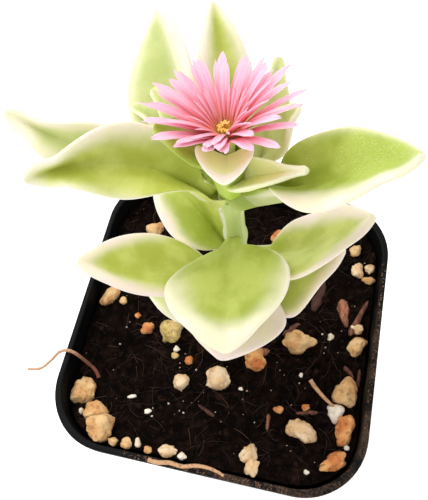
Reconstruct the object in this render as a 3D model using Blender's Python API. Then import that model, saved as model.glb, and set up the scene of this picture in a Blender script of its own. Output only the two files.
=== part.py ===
"""Potted baby sun rose with one open flower, in a small square pot.

Metres, +Z up. The pot stands on its base at the origin and its near side
faces -Y. Heights of the plant are measured from the pot's rim.
"""

import bmesh
import bpy
from math import cos, floor, hypot, pi, radians, sin, sqrt
from mathutils import Vector

MM = 0.001
CREASE = radians(38.0)

# Driving sizes
POT_WIDTH = 0.060
POT_HEIGHT = 0.058
POT_CORNER = 0.012
WALL = 0.0008
GAP = 0.0003

# Pot
BASE_HALF = POT_WIDTH * 0.376
LIP_HEIGHT = 0.0032
LIP_STEP = 0.0005
FLOOR = 0.0012
DRAIN_RADIUS = 0.0025
DRAIN_OFFSET = 0.0125
CORNER_STEPS = 6

# Soil
SOIL_TOP = POT_HEIGHT - 0.0038
SOIL_RINGS = 12

# Stem
STEM_X = 0.0037
STEM_Y = 0.0012
STEM_FOOT = SOIL_TOP - 0.009
STEM_TOP = POT_HEIGHT + 0.0468
STEM_NODES = (POT_HEIGHT + 0.0245, POT_HEIGHT + 0.0288, POT_HEIGHT + 0.0358,
              POT_HEIGHT + 0.0450)
NODE_SWELL = 0.0003
NODE_REACH = 0.0016

# Leaf blade
LEAF_THICK = 0.0018
LEAF_STEPS = 48
LEAF_ROWS = (0.0, 0.07, 0.14, 0.21, 0.29, 0.38, 0.48, 0.58, 0.68, 0.78, 0.87, 0.94, 0.985)
LEAF_COLUMNS = 7

# Flower
FLOWER_TILT = radians(18.0)
CALYX_FOOT = STEM_TOP + GAP
CALYX_MOUTH = POT_HEIGHT + 0.0545
PETAL_THICK = 0.00065

LEAF_GREEN = (0.36, 0.47, 0.12, 1.0)
LEAF_CREAM = (0.74, 0.70, 0.50, 1.0)
STEM_GREEN = (0.34, 0.45, 0.16, 1.0)
PETAL_PINK = (0.90, 0.28, 0.42, 1.0)
STAMEN_YELLOW = (0.85, 0.50, 0.08, 1.0)
POT_BLACK = (0.02, 0.02, 0.022, 1.0)
SOIL_DARK = (0.03, 0.02, 0.015, 1.0)
ROOT_TAN = (0.48, 0.33, 0.22, 1.0)


def clear_scene():
    for old in list(bpy.data.objects):
        bpy.data.objects.remove(old, do_unlink=True)


def material(name, colour, roughness):
    skin = bpy.data.materials.new(name)
    skin.use_nodes = True
    shader = skin.node_tree.nodes["Principled BSDF"]
    shader.inputs["Base Color"].default_value = colour
    shader.inputs["Roughness"].default_value = roughness
    skin.diffuse_color = colour
    return skin


def add_object(name, points, faces):
    mesh = bpy.data.meshes.new(name)
    mesh.from_pydata([tuple(p) for p in points], [], faces)
    mesh.validate()
    thing = bpy.data.objects.new(name, mesh)
    bpy.context.scene.collection.objects.link(thing)
    finish_faces(thing)
    return thing


def finish_faces(thing):
    """Faces turned outward, smooth except over the sharper edges."""
    work = bmesh.new()
    work.from_mesh(thing.data)
    bmesh.ops.recalc_face_normals(work, faces=work.faces)
    work.to_mesh(thing.data)
    work.free()
    thing.data.shade_smooth()
    thing.data.set_sharp_from_angle(angle=CREASE)


def dress(thing, name, colour, roughness):
    thing.data.materials.clear()
    thing.data.materials.append(material(name, colour, roughness))


def loft(rings, close_first=True, close_last=True):
    """Points and faces of a skin through closed rings of equal count."""
    count = len(rings[0])
    points = []
    for ring in rings:
        points.extend(ring)
    faces = []
    for row in range(len(rings) - 1):
        low = row * count
        high = low + count
        for k in range(count):
            n = (k + 1) % count
            faces.append((low + k, low + n, high + n, high + k))
    if close_first:
        faces.append(tuple(range(count - 1, -1, -1)))
    if close_last:
        last = (len(rings) - 1) * count
        faces.append(tuple(last + k for k in range(count)))
    return points, faces


def apply_modifiers(thing):
    bpy.context.view_layer.update()
    graph = bpy.context.evaluated_depsgraph_get()
    finished = bpy.data.meshes.new_from_object(thing.evaluated_get(graph))
    thing.modifiers.clear()
    thing.data = finished


def cut(thing, tool):
    tool.hide_render = True
    tool.display_type = "WIRE"
    step = thing.modifiers.new("cut", "BOOLEAN")
    step.operation = "DIFFERENCE"
    step.object = tool
    apply_modifiers(thing)
    bpy.data.objects.remove(tool, do_unlink=True)


def fuse(thing, pieces):
    """One union of a body with its small pieces."""
    group = bpy.data.collections.new(thing.name + "_pieces")
    bpy.context.scene.collection.children.link(group)
    for piece in pieces:
        bpy.context.scene.collection.objects.unlink(piece)
        group.objects.link(piece)
    step = thing.modifiers.new("fuse", "BOOLEAN")
    step.operation = "UNION"
    step.solver = "MANIFOLD"
    step.operand_type = "COLLECTION"
    step.collection = group
    apply_modifiers(thing)
    for piece in list(group.objects):
        bpy.data.objects.remove(piece, do_unlink=True)
    bpy.data.collections.remove(group)
    finish_faces(thing)


def rounded_square(half, corner, z, steps=CORNER_STEPS, between=0):
    """Closed ring, with points between the corners where asked for."""
    ring = []
    inner = half - corner
    corners = ((1, 1), (-1, 1), (-1, -1), (1, -1))
    for quarter in range(4):
        sx, sy = corners[quarter]
        for k in range(steps + 1):
            angle = (quarter + k / steps) * pi / 2
            ring.append(Vector((sx * inner + corner * cos(angle),
                                sy * inner + corner * sin(angle), z)))
        nx, ny = corners[(quarter + 1) % 4]
        stride = Vector(((nx - sx) * inner, (ny - sy) * inner, 0)) / (between + 1)
        start = ring[-1]
        for k in range(between):
            ring.append(start + stride * (k + 1))
    return ring


def wall_half(z):
    """Half width of the pot's outer wall at a height below the lip."""
    top = POT_WIDTH / 2 - LIP_STEP
    return BASE_HALF + (top - BASE_HALF) * z / (POT_HEIGHT - LIP_HEIGHT)


def make_pot():
    half = POT_WIDTH / 2
    lip = POT_HEIGHT - LIP_HEIGHT
    drop = half - POT_CORNER
    profile = [(BASE_HALF - 0.0008, 0.0), (wall_half(0.0008), 0.0008),
               (wall_half(lip * 0.5), lip * 0.5), (wall_half(lip), lip),
               (half - 0.0002, lip + 0.0002), (half, lip + 0.0005),
               (half, POT_HEIGHT - 0.0004), (half - 0.0003, POT_HEIGHT),
               (half - 0.0009, POT_HEIGHT), (half - 0.0012, POT_HEIGHT - 0.0003),
               (wall_half(lip) - WALL, lip - 0.0008),
               (wall_half(lip * 0.5) - WALL, lip * 0.5),
               (wall_half(FLOOR) - WALL, FLOOR)]
    rings = [rounded_square(w, w - drop * w / half, z) for w, z in profile]
    points, faces = loft(rings)
    pot = add_object("pot", points, faces)
    for sx in (-1, 1):
        for sy in (-1, 1):
            ring = [Vector((sx * DRAIN_OFFSET + DRAIN_RADIUS * cos(2 * pi * k / 16),
                            sy * DRAIN_OFFSET + DRAIN_RADIUS * sin(2 * pi * k / 16), 0))
                    for k in range(16)]
            low = [p + Vector((0, 0, -0.002)) for p in ring]
            high = [p + Vector((0, 0, FLOOR + 0.002)) for p in ring]
            cut(pot, add_object("drain", *loft([low, high])))
    finish_faces(pot)
    dress(pot, "black_plastic", POT_BLACK, 0.5)
    return pot


def soil_height(x, y):
    """Uneven compost, banked up at the near side, lowest in the near left corner."""
    a = x / MM
    b = y / MM
    waves = 0.28 * sin(a * 0.31 + 0.6) * cos(b * 0.27 - 0.4)
    waves += 0.16 * sin(a * 0.83 - b * 0.57 + 1.9)
    corner = 1.7 * 2.718 ** (-((a + 25.0) ** 2 + (b + 19.0) ** 2) / 110.0)
    bank = 3.2 * 2.718 ** (-((b + 29.0) ** 2) / 70.0)
    return SOIL_TOP + (waves - corner + bank) * MM


# Grains seen from above, mm: x, y, length, width, turn in degrees
GRAINS = ((-25.4, -19.2, 5.2, 4.2, 80), (-21.4, -22.8, 4.2, 3.8, 20),
          (-19.2, -25.4, 5.2, 4.2, 0), (-13.2, -27.0, 2.6, 2.0, 10),
          (-5.2, -26.8, 3.6, 2.6, 10), (-6.4, -13.8, 3.6, 3.2, 40),
          (0.6, -11.8, 5.2, 4.0, 20), (9.5, -24.2, 3.6, 3.2, 70),
          (10.4, -26.5, 3.0, 2.6, 0), (15.0, -1.6, 6.2, 4.8, 15),
          (25.8, 3.2, 2.6, 2.4, 0), (26.0, -0.4, 3.4, 3.2, 60),
          (25.3, -9.6, 5.4, 4.4, 70), (23.6, -13.8, 3.2, 3.2, 0),
          (25.7, -16.8, 5.0, 3.4, 80), (18.0, -18.4, 4.8, 4.0, -15),
          (24.0, -23.0, 5.4, 3.0, 45), (7.0, -6.8, 4.8, 4.0, 30),
          (-25.4, 1.0, 4.2, 3.6, 50), (-15.9, -4.4, 3.0, 2.6, 0),
          (-10.9, -4.2, 5.2, 4.4, 60), (24.6, 15.6, 3.2, 2.8, 20),
          (23.6, 20.4, 3.2, 2.4, 70), (-13.0, 12.0, 3.4, 2.8, 0),
          (-20.0, 18.0, 4.0, 3.4, 30), (8.0, 21.0, 4.4, 3.2, 10))


def grain(number, x, y, length, width, turn):
    body = bmesh.new()
    bmesh.ops.create_icosphere(body, subdivisions=2 if length > 4.0 else 1, radius=1.0)
    c = cos(radians(turn))
    s = sin(radians(turn))
    for corner in body.verts:
        p = corner.co
        lump = 1.0 + 0.13 * sin(3.1 * p.x + number) + 0.11 * sin(3.7 * p.y - 2 * number + p.z)
        u = p.x * length / 2 * lump * MM
        v = p.y * width / 2 * lump * MM
        corner.co = Vector((u * c - v * s, u * s + v * c, p.z * width * 0.42 * lump * MM))
    mesh = bpy.data.meshes.new("grain")
    body.to_mesh(mesh)
    body.free()
    thing = bpy.data.objects.new("grain", mesh)
    bpy.context.scene.collection.objects.link(thing)
    place = Vector((x * MM, y * MM, soil_height(x * MM, y * MM) + width * 0.12 * MM))
    for corner in mesh.vertices:
        corner.co = corner.co + place
    return thing


def make_soil():
    """Soil body lofted from its sides over the top into the stem's hole."""
    half = POT_WIDTH / 2
    drop = (half - POT_CORNER) / half
    low = FLOOR + GAP
    w = wall_half(low) - WALL - GAP
    rings = []
    for side, z in ((w - 0.0006, low), (w + 0.0001, low + 0.0008)):
        rings.append(rounded_square(side, side * (1 - drop), z, CORNER_STEPS, 6))
    edge = wall_half(SOIL_TOP) - WALL - GAP - 0.0001
    border = rounded_square(edge, edge * (1 - drop), 0, CORNER_STEPS, 6)
    hole = stem_radius(SOIL_TOP) + GAP + 0.0001
    centre = Vector((STEM_X, STEM_Y, 0))
    for k in range(SOIL_RINGS + 1):
        share = k / SOIL_RINGS
        ring = []
        for p in border:
            away = p - centre
            mouth = centre + away.normalized() * hole
            q = p.lerp(mouth, share)
            ring.append(Vector((q.x, q.y, soil_height(q.x, q.y))))
        rings.append(ring)
    foot = []
    for p in rings[-1]:
        foot.append(Vector((p.x, p.y, STEM_FOOT - GAP)))
    rings.append(foot)
    soil = add_object("soil", *loft(rings))
    fuse(soil, [grain(k, *g) for k, g in enumerate(GRAINS)])
    dress(soil, "compost", SOIL_DARK, 0.95)
    return soil


def tube(path, radii, sides=10):
    """Rings around a path of points."""
    rings = []
    count = len(path)
    guide = Vector((0.13, 0.31, 0.94)).normalized()
    for k in range(count):
        ahead = path[min(k + 1, count - 1)] - path[max(k - 1, 0)]
        ahead.normalize()
        side = ahead.cross(guide)
        side.normalize()
        up = side.cross(ahead)
        rings.append([path[k] + (side * cos(2 * pi * j / sides)
                                 + up * sin(2 * pi * j / sides)) * radii[k]
                      for j in range(sides)])
    return rings


# Stray root lying over the left rim, mm: x, y, height over the rim
ROOT_PATH = ((-23.2, -16.2, 0), (-24.2, -15.0, 0), (-25.7, -14.1, 0), (-27.3, -13.4, -0.3),
             (-28.6, -13.1, 0.7), (-29.9, -13.2, 0.85), (-31.2, -13.9, 0.4),
             (-32.4, -15.5, -0.2), (-34.2, -17.3, -0.8), (-36.9, -17.9, -1.2))
ROOT_RADIUS = 0.00042


def make_root():
    path = []
    for x, y, z in ROOT_PATH:
        height = POT_HEIGHT + z * MM
        if z == 0:
            height = soil_height(x * MM, y * MM) + ROOT_RADIUS + GAP + 0.0001
        path.append(Vector((x * MM, y * MM, height)))
    radii = [ROOT_RADIUS * (1.0 - 0.35 * k / len(path)) for k in range(len(path))]
    root = add_object("stray_root", *loft(tube(path, radii, 8)))
    dress(root, "dry_root", ROOT_TAN, 0.8)
    return root


def stem_radius(z):
    share = (z - SOIL_TOP) / (STEM_TOP - SOIL_TOP)
    share = min(max(share, 0.0), 1.0)
    radius = 0.0019 - 0.0010 * share + 0.0006 * share * share
    for node in STEM_NODES:
        radius += NODE_SWELL * 2.718 ** (-((z - node) / NODE_REACH) ** 2)
    return radius


def make_stem():
    rings = []
    levels = [STEM_FOOT, SOIL_TOP - 0.004]
    rows = 26
    for k in range(rows + 1):
        levels.append(SOIL_TOP - 0.001 + (STEM_TOP - SOIL_TOP + 0.001) * k / rows)
    for z in levels:
        r = stem_radius(z)
        rings.append([Vector((STEM_X + r * cos(2 * pi * j / 14),
                              STEM_Y + r * sin(2 * pi * j / 14), z)) for j in range(14)])
    stem = add_object("stem", *loft(rings))
    dress(stem, "stem_green", STEM_GREEN, 0.45)
    return stem


def smooth_step(t):
    t = min(max(t, 0.0), 1.0)
    return t * t * (3 - 2 * t)


def oval(q, rise, fall):
    """Half width along a blade, one at its widest."""
    if q <= 0.0 or q >= 1.0:
        return 0.0
    middle = rise / (rise + fall)
    return (q / middle) ** rise * ((1 - q) / (1 - middle)) ** fall


def midrib(base, leaf):
    """Points and frames along a blade: forward, to its right, and up."""
    points = [base]
    frames = []
    for k in range(LEAF_STEPS + 1):
        t = k / LEAF_STEPS
        h = radians(leaf["heading"] + leaf.get("sweep", 0) * t)
        p = radians(leaf["pitch"] + leaf.get("droop", 0) * t)
        ahead = Vector((cos(h) * cos(p), sin(h) * cos(p), sin(p)))
        right = Vector((sin(h), -cos(h), 0))
        up = right.cross(ahead)
        r = radians(leaf.get("roll", 0) + leaf.get("twist", 0) * t)
        frames.append((ahead, right * cos(r) + up * sin(r), up * cos(r) - right * sin(r)))
        points.append(points[-1] + ahead * (leaf["length"] * MM / LEAF_STEPS))
    return points[:-1], frames


def blade_rings(base, leaf, rows, columns):
    """Closed sections of a fleshy blade folded along its midrib."""
    points, frames = midrib(base, leaf)
    stalk = leaf.get("stalk", 0.16)
    foot = leaf.get("foot", 3.4) / 2 * MM
    half = leaf["width"] / 2 * MM
    thick = leaf.get("thick", LEAF_THICK)
    fold_base, fold_middle, fold_tip = leaf["fold"]
    lean = radians(leaf.get("lean", 0))
    rings = []
    for t in rows:
        k = min(int(floor(t * LEAF_STEPS)), LEAF_STEPS - 1)
        f = t * LEAF_STEPS - k
        centre = points[k].lerp(points[k + 1], f)
        ahead = frames[k][0].lerp(frames[k + 1][0], f).normalized()
        right = frames[k][1].lerp(frames[k + 1][1], f).normalized()
        up = right.cross(ahead)
        q = max((t - stalk) / (1 - stalk), 0.0)
        w = hypot(foot * (1 - q) ** 0.7,
                  half * oval(q, leaf.get("rise", 0.62), leaf.get("fall", 0.86)))
        if q < 0.45:
            fold = fold_base + (fold_middle - fold_base) * smooth_step(q / 0.45)
        else:
            fold = fold_middle + (fold_tip - fold_middle) * smooth_step((q - 0.45) / 0.55)
        body = thick * (1 - 0.45 * q * q)
        curl = leaf.get("curl", 0.1) * smooth_step(q / 0.3)
        ring = []
        for side in (1, -1):
            for c in range(columns):
                a = (-1 + 2 * c / columns) * side
                u = sin(a * pi / 2)
                tilt = radians(fold) + (lean if u > 0 else -lean) * min(1.0, abs(u) * 3)
                bow = (sqrt(u * u + 0.0324) - 0.18) / (sqrt(1.0324) - 0.18)
                across = w * u * cos(tilt)
                rise = w * sin(tilt) * bow - curl * w * abs(u) ** 3
                slope = tilt * u / sqrt(u * u + 0.0324)
                flesh = side * body / 2 * sqrt(max(0.0, 1 - u ** 4))
                ring.append(centre + right * across
                            + up * (rise + flesh / max(cos(slope), 0.7)))
        rings.append(ring)
    return rings, points[-1]


def blade(name, base, leaf, rows=LEAF_ROWS, columns=LEAF_COLUMNS):
    """A closed leaf with matching triangles on both faces."""
    rings, tip = blade_rings(base, leaf, rows, columns)
    count = len(rings[0])
    points = [p for ring in rings for p in ring]
    faces = []
    for row in range(len(rings) - 1):
        low = row * count
        high = low + count
        for k in range(count):
            n = (k + 1) % count
            if k < columns:
                faces.append((low + k, low + n, high + n))
                faces.append((low + k, high + n, high + k))
            else:
                faces.append((low + k, low + n, high + k))
                faces.append((low + n, high + n, high + k))
    points.append(tip)
    last = (len(rings) - 1) * count
    for k in range(count):
        faces.append((last + k, last + (k + 1) % count, len(points) - 1))
    points.append(sum(rings[0], Vector()) / count)
    for k in range(count):
        faces.append(((k + 1) % count, k, len(points) - 1))
    return add_object(name, points, faces)


def on_stem(leaf):
    """Start of a stalk that stands just clear of the stem."""
    z = POT_HEIGHT + leaf["level"] * MM
    pitch = radians(leaf["pitch"])
    reach = stem_radius(z) + GAP + leaf.get("stand", 0.45) * MM
    reach += LEAF_THICK / 2 * sin(pitch)
    a = radians(leaf["round"])
    return Vector((STEM_X + reach * cos(a), STEM_Y + reach * sin(a), z))


# Single leaves: level over the rim, place round the stem and blade angles
LEAVES = {
    "leaf_top_left": dict(level=46.3, round=-168, stand=1.0, heading=170, pitch=47,
                          droop=-47, sweep=54, roll=5, twist=69, lean=-8, length=23.3,
                          width=11.0, fold=(60, 36, 67), stalk=0.08, rise=0.6, foot=3.6),
    "leaf_top_right": dict(level=45.9, round=6, stand=0.8, heading=-8, pitch=39,
                           droop=5, sweep=10, roll=13, twist=-9, lean=-3, length=23.0,
                           width=12.9, fold=(55, 27, 33), stalk=0.2, rise=0.55,
                           foot=4.0),
    "leaf_top_back": dict(level=44.8, round=92, stand=0.8, heading=108, pitch=52,
                          droop=-31, sweep=2, roll=-16, twist=-3, lean=-2, length=22.5,
                          width=8.0, fold=(40, 21, 26), foot=2.4),
    "leaf_low_front": dict(level=37.2, round=-86, stand=0.75, heading=-87, pitch=19,
                           droop=-37, sweep=12, roll=-17, twist=25, lean=-8,
                           length=15.5, width=17.6, fold=(0, 8, 29), stalk=0.03,
                           rise=0.5, foot=3.8),
    "leaf_low_back": dict(level=26.3, round=130, stand=0.8, heading=145, pitch=27,
                          droop=-33, sweep=-3, roll=31, lean=4, length=19.6,
                          width=12.9, fold=(60, 35, 10), stalk=0.04, rise=0.42),
    "leaf_low_left": dict(level=27.5, round=-146, heading=-144, pitch=28, droop=5,
                          sweep=-24, roll=-8, lean=-7, length=23.0, width=12.8,
                          fold=(19, 17, 18), stalk=0.15),
    "leaf_low_right": dict(level=29.6, round=-10, heading=-12, pitch=37, droop=13,
                           sweep=39, roll=12, twist=17, lean=3, length=21.5,
                           width=14.1, fold=(29, 14, 20), stalk=0.15),
    "leaf_base_front": dict(level=26.7, round=-82, stand=0.85, heading=-86, pitch=22,
                            droop=-37, sweep=-5, roll=-9, twist=-15, lean=-2,
                            length=13.9, width=16.4, fold=(25, -10, 4)),
    "leaf_base_left": dict(level=21.2, round=-160, heading=-154, pitch=9, droop=-31,
                           sweep=-10, roll=2, twist=7, lean=3, length=13.8, width=13.6,
                           fold=(35, 5, 18)),
    "leaf_base_right": dict(level=20.6, round=4, stand=0.65, heading=-13, pitch=48, droop=10,
                            sweep=20, twist=3, length=20.4, width=16.1,
                            fold=(34, 4, 19)),
    "leaf_base_back": dict(level=22.6, round=122, heading=136, pitch=10, droop=-20,
                           length=10.0, width=7.0, fold=(25, 14, 14)),
}

# Side shoots behind the flower: path of the shoot, then its leaves, mm over the rim
SHOOTS = {
    "shoot_left": dict(
        path=((0.8, 3.3, 45.4), (0.3, 3.8, 47.0), (0.0, 4.2, 49.0)), radius=0.9,
        leaves=(dict(at=(-0.2, 4.1, 46.1), heading=193, pitch=14, droop=20, sweep=-19,
                     roll=41, twist=2, lean=3, length=26.2, width=10.1,
                     fold=(40, 32, 63), stalk=0.12, foot=2.0),
                dict(at=(-1.2, 5.2, 45.6), heading=124, pitch=47, droop=-6, sweep=-13,
                     roll=21, twist=19, lean=12, length=20.4, width=14.2,
                     fold=(44, 33, 11), stalk=0.1, foot=2.6),
                dict(at=(0.2, 4.2, 48.6), heading=142, pitch=33, droop=-10, length=11.5,
                     width=4.8, fold=(40, 31, 37), stalk=0.1, foot=2.0, thick=0.0014),
                dict(at=(-0.1, 4.0, 48.2), heading=152, pitch=27, droop=-11, sweep=7,
                     roll=-3, lean=-6, length=12.0, width=5.0, fold=(40, 44, 38),
                     stalk=0.1, foot=2.0, thick=0.0014))),
    "shoot_right": dict(
        path=((5.8, 4.3, 46.2), (6.1, 4.5, 47.4), (6.6, 4.7, 48.8)), radius=0.9,
        leaves=(dict(at=(6.5, 4.6, 48.0), heading=79, pitch=42, droop=-1, sweep=12,
                     roll=-14, length=13.8, width=5.0, fold=(40, 25, 48), stalk=0.1,
                     foot=2.2, thick=0.0015),
                dict(at=(6.5, 5.4, 47.4), heading=48, pitch=50, droop=4, sweep=-5,
                     roll=11, length=9.8, width=6.6, fold=(40, 20, 38), stalk=0.1,
                     foot=2.4, thick=0.0015))),
}


def make_leaves():
    for name, leaf in LEAVES.items():
        thing = blade(name, on_stem(leaf), leaf)
        dress(thing, name + "_skin", LEAF_GREEN, 0.42)


def over_rim(x, y, z):
    return Vector((x * MM, y * MM, POT_HEIGHT + z * MM))


def make_shoots():
    for name, shoot in SHOOTS.items():
        path = [over_rim(*p) for p in shoot["path"]]
        radius = shoot["radius"] * MM
        body = add_object(name, *loft(tube(path, [radius, radius, radius * 0.8], 8)))
        pieces = []
        for leaf in shoot["leaves"]:
            pieces.append(blade("shoot_leaf", over_rim(*leaf["at"]), leaf))
        fuse(body, pieces)
        dress(body, name + "_skin", LEAF_GREEN, 0.42)


# Calyx lobes: place over the rim and blade angles
LOBES = (dict(at=(4.0, 0.0, 56.3), heading=-82, pitch=12, droop=-24, length=3.2,
              width=4.4, fold=(36, 34, 22), stalk=0.02, rise=0.4, foot=7.6, thick=0.0011),
         dict(at=(5.0, 1.3, 49.7), heading=-19, pitch=50, droop=-15, sweep=12, roll=-19,
              twist=-5, lean=-4, length=11.4, width=6.8, fold=(50, 56, 48), stalk=0.02,
              fall=1.1, foot=3.0, thick=0.0015),
         dict(at=(2.7, 1.3, 53.0), heading=175, pitch=42, droop=-15, length=9.0,
              width=7.0, fold=(40, 35, 30), stalk=0.02, foot=3.0, thick=0.0012),
         dict(at=(3.7, 2.0, 52.8), heading=95, pitch=38, droop=-10, length=5.0,
              width=5.0, fold=(35, 25, 25), stalk=0.02, foot=3.0, thick=0.0012))

# Radius and height of the calyx tube, up its outside and down into its cup, mm
CALYX_PROFILE = ((1.5, 0.0), (1.55, 1.5), (1.85, 4.0), (2.05, 6.0), (2.25, 7.8), (2.35, 9.4),
                 (1.75, 9.4), (1.55, 8.0), (1.3, 6.9))


def make_calyx():
    rings = []
    for radius, height in CALYX_PROFILE:
        rings.append([Vector((STEM_X + radius * MM * cos(2 * pi * j / 14),
                              STEM_Y + radius * MM * sin(2 * pi * j / 14),
                              CALYX_FOOT + height * MM)) for j in range(14)])
    calyx = add_object("flower_calyx", *loft(rings))
    lobes = [blade("lobe", over_rim(*lobe["at"]), lobe, columns=5) for lobe in LOBES]
    fuse(calyx, lobes)
    dress(calyx, "calyx_skin", LEAF_CREAM, 0.45)
    return calyx


# Petal whorls: count, first heading, rise, length, width and start height, mm
WHORLS = ((18, 4.0, 27.0, 8.7, 1.3, 2.9), (16, 15.0, 39.0, 8.5, 1.2, 3.3),
          (12, 9.0, 52.0, 7.2, 1.1, 3.7))
# How the lobes and leaves below hold the outer rays: direction, lift and reach, degrees
HELD = ((-43.0, -12.0, 14.0), (-85.0, 9.0, 30.0), (120.0, 7.0, 30.0))
# The flower is open towards the near side, where its inner rays lie down too: degrees
OPEN_SIDE = -95.0
OPEN_REACH = 56.0
OPEN_RISE = 24.0
HEAD_PROFILE = ((0.7, 0.0), (0.85, 0.5), (1.0, 1.6), (1.4, 2.8), (1.5, 3.6), (1.35, 4.0),
                (1.05, 3.7), (0.9, 3.0))
HEAD_FOOT = Vector((STEM_X + 0.0003, STEM_Y - 0.0001, CALYX_FOOT + 0.0081))
CUP_FLOOR = 0.0030
TUFT_PROFILE = ((0.5, 0.0), (0.55, 0.3), (0.4, 0.6), (0.2, 0.8))
FLOWER_AXIS = Vector((-sin(FLOWER_TILT) * 0.35, sin(FLOWER_TILT), cos(FLOWER_TILT)))
PETAL_SHAPE = ((0.0, 0.55), (0.3, 0.8), (0.62, 1.0), (0.88, 0.85), (1.0, 0.35))


def flower_frame():
    up = FLOWER_AXIS.normalized()
    right = Vector((0, 1, 0)).cross(up).normalized()
    return right, up.cross(right), up


def petal(heading, rise, length, width, start):
    right, back, up = flower_frame()
    middle = HEAD_FOOT + up * start * MM
    a = radians(heading)
    if start == WHORLS[0][5]:
        for side, lift, reach in HELD:
            off = (heading - side + 180.0) % 360.0 - 180.0
            rise += lift * 2.718 ** (-((off / reach) ** 2))
    off = (heading - OPEN_SIDE + 180.0) % 360.0 - 180.0
    front = 2.718 ** (-((off / OPEN_REACH) ** 2))
    rise -= max(rise - OPEN_RISE, 0.0) * front
    length *= 1.0 - 0.42 * front ** 2.8
    out = right * cos(a) + back * sin(a)
    side = up.cross(out)
    rings = []
    place = middle + out * 0.0011
    reach = 0.0
    for share, spread in PETAL_SHAPE:
        e = radians(rise + 14.0 - 26.0 * share)
        ahead = out * cos(e) + up * sin(e)
        place = place + ahead * (share - reach) * length * MM
        reach = share
        normal = ahead.cross(side)
        w = width / 2 * spread * MM
        d = PETAL_THICK / 2
        rings.append([place - side * w - normal * d, place + side * w - normal * d,
                      place + side * w * 0.9 + normal * d, place - side * w * 0.9 + normal * d])
    return add_object("petal", *loft(rings))


def jitter(number, span):
    """Even spread of small departures, the same at each run."""
    return span * (2 * ((number * 0.618034) % 1.0) - 1)


def make_petals():
    right, back, up = flower_frame()
    middle = HEAD_FOOT
    rings = []
    for radius, height in HEAD_PROFILE:
        rings.append([middle + up * height * MM + (right * cos(2 * pi * j / 12)
                                                   + back * sin(2 * pi * j / 12)) * radius * MM
                      for j in range(12)])
    head = add_object("flower_petals", *loft(rings))
    pieces = []
    number = 0
    for count, first, rise, length, width, start in WHORLS:
        for k in range(count):
            number += 1
            pieces.append(petal(first + 360.0 * k / count + jitter(number, 3.0),
                                rise + jitter(number + 5, 4.0),
                                length * (1 + jitter(number + 9, 0.06)),
                                width, start))
    fuse(head, pieces)
    dress(head, "petal_skin", PETAL_PINK, 0.5)
    return head


def make_stamens():
    right, back, up = flower_frame()
    foot = HEAD_FOOT + up * (CUP_FLOOR + GAP)
    rings = []
    for radius, height in TUFT_PROFILE:
        rings.append([foot + up * height * MM + (right * cos(2 * pi * j / 10)
                                                 + back * sin(2 * pi * j / 10)) * radius * MM
                      for j in range(10)])
    tuft = add_object("flower_stamens", *loft(rings))
    pieces = []
    for k in range(9):
        a = 2 * pi * k / 9 + jitter(k, 0.2)
        out = right * cos(a) + back * sin(a)
        lean = 0.1 + 0.15 * ((k * 0.618) % 1.0)
        start = foot + up * 0.0003 + out * 0.0002
        end = start + (up + out * lean).normalized() * 0.0014
        path = [start, start.lerp(end, 0.75), end]
        pieces.append(add_object("filament", *loft(tube(path, [0.0003, 0.0003, 0.00034], 6))))
    fuse(tuft, pieces)
    dress(tuft, "stamen_skin", STAMEN_YELLOW, 0.6)
    return tuft


def build():
    clear_scene()
    make_pot()
    make_soil()
    make_root()
    make_stem()
    make_leaves()
    make_shoots()
    make_calyx()
    make_petals()
    make_stamens()


build()
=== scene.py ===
import random
from math import cos, exp, hypot, pi, radians, sin, sqrt

import bmesh
import bpy
from mathutils import Matrix, Vector, noise


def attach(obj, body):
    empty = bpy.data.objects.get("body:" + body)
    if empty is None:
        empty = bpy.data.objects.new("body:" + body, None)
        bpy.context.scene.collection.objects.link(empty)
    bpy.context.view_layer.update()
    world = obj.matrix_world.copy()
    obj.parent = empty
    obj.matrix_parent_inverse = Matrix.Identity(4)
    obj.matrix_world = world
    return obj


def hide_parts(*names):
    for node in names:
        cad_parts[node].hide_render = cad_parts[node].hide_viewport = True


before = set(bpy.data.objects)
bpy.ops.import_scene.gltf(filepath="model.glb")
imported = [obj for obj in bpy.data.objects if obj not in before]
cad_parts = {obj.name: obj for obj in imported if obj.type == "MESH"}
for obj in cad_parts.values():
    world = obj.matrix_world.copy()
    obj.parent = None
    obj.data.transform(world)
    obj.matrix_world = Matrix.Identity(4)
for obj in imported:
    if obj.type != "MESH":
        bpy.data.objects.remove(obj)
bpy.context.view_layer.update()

MM = 0.001


# The pot
# A small square nursery pot of thin black plastic, injection moulded with rounded
# corners, a narrow lip round its mouth and four drain holes. Compost dust clings to it,
# and a painted highlight lightens the near and right sides of its lip.

POT_WIDTH = 0.060
POT_HEIGHT = 0.058
CORNER_SHARE = 0.4
POT_WALL = 0.0008
POT_FLOOR = 0.0012
FOOT_BEVEL = 0.0008
# How far in and up the round of the foot passes
FOOT_ROUND = (0.0003, 0.0002)
BASE_HALF = POT_WIDTH * 0.376
LIP_HEIGHT = 0.0032
LIP_STEP = 0.0005
LIP_THICK = 0.0012
LIP_TURN = 0.00032
DRAIN_RADIUS = 0.0025
DRAIN_OFFSET = 0.0125
DRILL_LENGTH = 0.005
# How far down from the rim the dust and painted highlight on the pot reach
DUST_AND_HIGHLIGHT_DEPTH = 0.007


def paint(red, green, blue):
    """A colour as the eye counts it, 0 to 255, in the linear scale of the shaders."""
    shares = []
    for part in (red, green, blue):
        share = part / 255
        shares.append(share / 12.92 if share <= 0.04045 else ((share + 0.055) / 1.055) ** 2.4)
    return (*shares, 1.0)


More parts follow.
